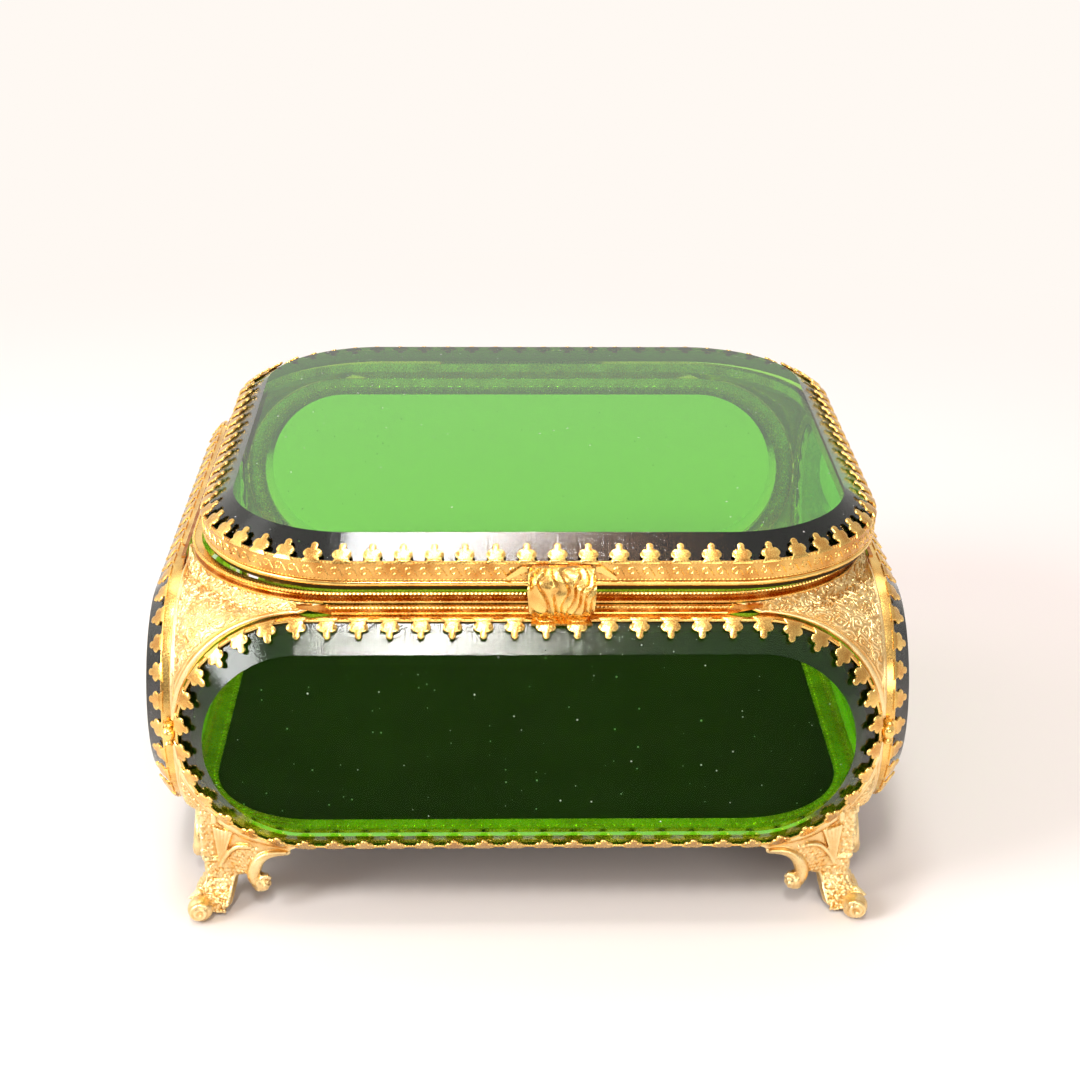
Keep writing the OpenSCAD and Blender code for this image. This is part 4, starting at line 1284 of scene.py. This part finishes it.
def leaf_relief(x, y):
    """Curling overlapped leaves, as a height from 0 to 1."""
    bend = 1.0 * np.sin(0.62 * y + 0.35 * x) + 0.45 * np.sin(1.5 * y - 0.9 * x + 1)
    fold = (0.5 * (x + bend) + 0.13 * y) % 1.0
    leaf = np.where(fold < 0.72, fold / 0.72, (1 - fold) / 0.28)
    vein = 0.5 + 0.5 * np.sin(5.2 * (y + 0.6 * bend) + 2.0 * x)
    return np.clip(leaf ** 0.8 - 0.16 * vein * leaf, 0, 1)


def clasp_wing(sign):
    """One pointed wing of the clasp plate, folded down on the lid band."""
    low, high = node_box("clasp_wings")
    middle, half = (low[0] + high[0]) / 2, (high[0] - low[0]) / 2
    inner = half - 4.0
    # Its outline, as distances from the middle of the clasp and heights over the floor
    points = [(inner - 0.3, 83.9), (inner + 0.9, 84.0), (half + 0.2, 81.5), (half - 0.2, 80.95),
              (inner + 1.2, 82.3), (inner - 0.3, 82.9)]
    flat = [np.array([(middle + sign * x, y, z) for x, z in points])
            for y in (high[1], low[1] - 0.1)]
    return loft(flat if sign < 0 else flat[::-1], capped=True, relief_and_shade=0.9)


# Operators

class CASKET_OT_glass(bpy.types.Operator):
    """Make the five bevelled glass plates"""
    bl_idname = "casket.glass"
    bl_label = "Glass plates"

    def execute(self, context):
        material = casket_materials(context.scene)["bevelled_green_glass"]
        glass = context.scene.casket_glass
        for side in WALLS:
            wall_glass(side, glass, material)
        lid_glass_plate(glass, material)
        return {"FINISHED"}


class CASKET_OT_bezels(bpy.types.Operator):
    """Make the four wall bezels with their bent prongs"""
    bl_idname = "casket.bezels"
    bl_label = "Wall bezels"

    def execute(self, context):
        material = casket_materials(context.scene)["stamped_gilt_brass"]
        for side in WALLS:
            wall_bezel(side, context.scene.casket_glass, context.scene.casket_metal, material)
        return {"FINISHED"}


class CASKET_OT_lid(bpy.types.Operator):
    """Make the lid bezel with its prongs and the wire under it"""
    bl_idname = "casket.lid"
    bl_label = "Lid"

    def execute(self, context):
        materials = casket_materials(context.scene)
        glass, metal = context.scene.casket_glass, context.scene.casket_metal
        lid_frame(glass, metal, materials["stamped_gilt_brass"])
        lid_wire_ring(materials["plain_gilt_wire"])
        return {"FINISHED"}


class CASKET_OT_rim(bpy.types.Operator):
    """Make the gallery rim and the rope-edged strips below it"""
    bl_idname = "casket.rim"
    bl_label = "Rim and strips"

    def execute(self, context):
        material = casket_materials(context.scene)["stamped_gilt_brass"]
        gallery_moulding(context.scene.casket_metal, material)
        for side in WALLS:
            edge_strip(side, context.scene.casket_metal, material)
        return {"FINISHED"}


class CASKET_OT_corners(bpy.types.Operator):
    """Make the scrolled corner plates and the beads where the bezels meet"""
    bl_idname = "casket.corners"
    bl_label = "Corner plates"

    def execute(self, context):
        materials = casket_materials(context.scene)
        cast = materials["cast_gilt_metal"]
        four_corners(upper_corner_plate(), "scrolled_plate", "{corner}_corner", cast)
        four_corners(lower_corner_plate(), "lower_plate", "{corner}_lower_corner", cast)
        corner_beads(materials["stamped_gilt_brass"])
        return {"FINISHED"}


class CASKET_OT_feet(bpy.types.Operator):
    """Make the four cast feet"""
    bl_idname = "casket.feet"
    bl_label = "Feet"

    def execute(self, context):
        material = casket_materials(context.scene)["cast_gilt_metal"]
        four_corners(cast_foot(), "cast_foot", "{corner}_foot", material)
        return {"FINISHED"}


class CASKET_OT_clasp(bpy.types.Operator):
    """Make the clasp tab and its two wings"""
    bl_idname = "casket.clasp"
    bl_label = "Clasp"

    def execute(self, context):
        material = casket_materials(context.scene)["stamped_gilt_brass"]
        finish_piece("clasp_plate", clasp_plate(), material, ["clasp_tab"], "lid")
        wings = joined([clasp_wing(-1), clasp_wing(1)])
        finish_piece("clasp_wing_pair", wings, material, ["clasp_wings"], "lid")
        return {"FINISHED"}


class CASKET_OT_base(bpy.types.Operator):
    """Make the velvet-covered board in the bottom and the frame round it"""
    bl_idname = "casket.base"
    bl_label = "Base panel"

    def execute(self, context):
        materials = casket_materials(context.scene)
        base_lining(materials["dark_velvet_lining"])
        base_border(materials["stamped_gilt_brass"])
        return {"FINISHED"}


class CASKET_OT_hinge(bpy.types.Operator):
    """Give the two hinge leaves and the pin their gilt finish"""
    bl_idname = "casket.hinge"
    bl_label = "Hinge"

    def execute(self, context):
        materials = casket_materials(context.scene)
        for name in ("lid_hinge_leaf", "body_hinge_leaf", "hinge_pin"):
            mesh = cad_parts[name].data
            mesh.materials.clear()
            mesh.materials.append(materials["plain_gilt_wire"])
        return {"FINISHED"}


class CASKET_OT_stage(bpy.types.Operator):
    """Set up the floor, the backdrop, the lamps and the camera"""
    bl_idname = "casket.stage"
    bl_label = "Stage"

    def execute(self, context):
        scene = context.scene
        scene.view_settings.view_transform = "Standard"
        make_floor(scene)
        make_world(scene)
        make_lamps(scene)
        make_camera(scene)
        return {"FINISHED"}


def after_bounce(tree, path):
    """1 for a ray that has left a matte surface, or 0."""
    return arithmetic(tree, "GREATER_THAN", path.outputs["Diffuse Depth"], 0.5)


def make_floor(scene):
    """A wide pale floor that fades to white away from the casket. It keeps the casket's shadow."""
    material, tree, output = new_material("pale_painted_floor")
    # Light that has left a matte surface meets a darker floor, so the underside stays in shadow
    seen = arithmetic(tree, "SUBTRACT", 1.0, after_bounce(tree, add(tree, "ShaderNodeLightPath")))
    colour = blend(tree, seen, linear("B3ABA6"), tuple(scene.casket_stage.floor))
    diffuse = add(tree, "ShaderNodeBsdfDiffuse", {"Color": colour})
    place = add(tree, "ShaderNodeTexCoord").outputs["Object"]
    distance = add(tree, "ShaderNodeVectorMath", {0: place}, operation="LENGTH").outputs["Value"]
    far = remap(tree, distance, (0.2, 0.5), (0.0, 1.0), interpolation_type="SMOOTHSTEP")
    fade = arithmetic(tree, "MULTIPLY", far, seen)
    white = add(tree, "ShaderNodeEmission", {"Color": linear("FFF9F3"), "Strength": 1.0})
    shade = add(tree, "ShaderNodeMixShader",
                {0: fade, 1: diffuse.outputs[0], 2: white.outputs[0]})
    tree.links.new(shade.outputs[0], output.inputs["Surface"])
    half = 3.0
    mesh = bpy.data.meshes.new("floor")
    corners = [(-half, -half, 0), (half, -half, 0), (half, half, 0), (-half, half, 0)]
    mesh.from_pydata(corners, [], [(0, 1, 2, 3)])
    mesh.materials.append(material)
    floor = bpy.data.objects.new("floor", mesh)
    scene.collection.objects.link(floor)


def make_world(scene):
    """White for the camera and through glass. Metal sees a white tent, darker behind the camera."""
    world = bpy.data.worlds.new("studio")
    world.use_nodes = True
    tree = world.node_tree
    tree.nodes.clear()
    output = add(tree, "ShaderNodeOutputWorld")
    toward = add(tree, "ShaderNodeTexCoord").outputs["Generated"]
    parts = add(tree, "ShaderNodeSeparateXYZ", {0: toward}).outputs
    ahead = remap(tree, parts["Y"], (-0.85, -0.2), (0.3, 0.95))
    right = remap(tree, parts["X"], (-0.9, 0.8), (1.25, 0.7))
    tent = arithmetic(tree, "MULTIPLY", ahead, right)
    path = add(tree, "ShaderNodeLightPath")
    bounced = after_bounce(tree, path)
    soft = blend(tree, bounced, tent, 0.45, "FLOAT")
    seen = arithmetic(tree, "MAXIMUM", path.outputs["Is Camera Ray"],
                      path.outputs["Is Transmission Ray"])
    direct = arithmetic(tree, "SUBTRACT", seen, bounced, use_clamp=True)
    strength = blend(tree, direct, soft, 1.0, "FLOAT")
    tint = blend(tree, bounced, linear("FFFBF6"), linear("FFF0F2"))
    sky = add(tree, "ShaderNodeBackground", {"Color": tint, "Strength": strength})
    tree.links.new(sky.outputs[0], output.inputs["Surface"])
    scene.world = world


def make_lamps(scene):
    """Soft boxes over the front, white at their left and warm at their right, and weak fills."""
    power = scene.casket_stage.lamp_power
    lamps = (("overhead_softbox", (-0.105, -0.1, 1.5), (0.11, 0.4), 4.7, "FFFFFF"),
             ("overhead_warm", (-0.015, -0.1, 1.5), (0.06, 0.4), 0.75, "FFDFC0"),
             ("overhead_amber", (0.0675, -0.1, 1.5), (0.105, 0.4), 0.42, "FFB888"),
             ("front_softbox", (-0.09, -0.93, 1.30), (0.124, 0.36), 6.2, "FFFBF5"),
             ("front_warm", (0.011, -0.93, 1.30), (0.078, 0.36), 0.16, "FFE2C0"),
             ("left_softbox", (-1.1, -0.62, 0.74), (0.5, 0.72), 13.5, "FFFFFF"),
             ("front_fill", (0.5, -1.4, 0.55), (1.0, 0.5), 7.0, "FFF6EC"),
             ("left_fill", (-1.3, 0.3, 0.9), (1.0, 1.0), 3.0, "FFFFFF"),
             ("back_fill", (0.1, 1.2, 2.6), (1.6, 1.0), 11.0, "FFFFFF"))
    for name, place, (width, height), watts, colour in lamps:
        light = bpy.data.lights.new(name, "AREA")
        light.shape = "RECTANGLE"
        light.size, light.size_y = width, height
        light.energy = watts * power
        light.color = linear(colour)[:3]
        lamp = bpy.data.objects.new(name, light)
        lamp.location = place
        aim = Vector((0, 0, 0.04)) - Vector(place)
        lamp.rotation_euler = aim.to_track_quat("-Z", "Y").to_euler()
        scene.collection.objects.link(lamp)


def make_camera(scene):
    """The photograph's viewpoint, for a square frame."""
    data = bpy.data.cameras.new("camera")
    data.sensor_width = 36.0
    data.lens = 69.5
    camera = bpy.data.objects.new("camera", data)
    place = Matrix.Translation((-0.0072, -0.4706, 0.2564))
    pitch, yaw, roll = math.radians(22.694), math.radians(1.316), math.radians(0.444)
    aim = Matrix.Rotation(-yaw, 4, "Z") @ Matrix.Rotation(math.radians(90) - pitch, 4, "X")
    camera.matrix_world = place @ aim @ Matrix.Rotation(roll, 4, "Z")
    scene.collection.objects.link(camera)
    scene.camera = camera


class CASKET_PT_panel(bpy.types.Panel):
    """The casket's settings and steps"""
    bl_idname = "CASKET_PT_panel"
    bl_label = "Casket"
    bl_space_type = "VIEW_3D"
    bl_region_type = "UI"
    bl_category = "Casket"

    def draw(self, context):
        layout = self.layout
        for name in GROUPS:
            group = getattr(context.scene, name)
            box = layout.box()
            for key in group.__annotations__:
                box.prop(group, key)
        for step in STEPS:
            layout.operator(step.bl_idname)


STEPS = (CASKET_OT_stage, CASKET_OT_glass, CASKET_OT_bezels, CASKET_OT_lid, CASKET_OT_rim,
         CASKET_OT_corners, CASKET_OT_feet, CASKET_OT_clasp, CASKET_OT_base, CASKET_OT_hinge)
GROUPS = {"casket_glass": CasketGlass, "casket_metal": CasketMetal, "casket_stage": CasketStage}


def register():
    for group in (*GROUPS.values(), *STEPS, CASKET_PT_panel):
        bpy.utils.register_class(group)
    for name, group in GROUPS.items():
        setattr(bpy.types.Scene, name, bpy.props.PointerProperty(type=group))


def unregister():
    for name in GROUPS:
        delattr(bpy.types.Scene, name)
    for group in reversed((*GROUPS.values(), *STEPS, CASKET_PT_panel)):
        bpy.utils.unregister_class(group)


def main():
    register()
    for step in STEPS:
        group, name = step.bl_idname.split(".")
        getattr(getattr(bpy.ops, group), name)()


if __name__ == "__main__":
    main()
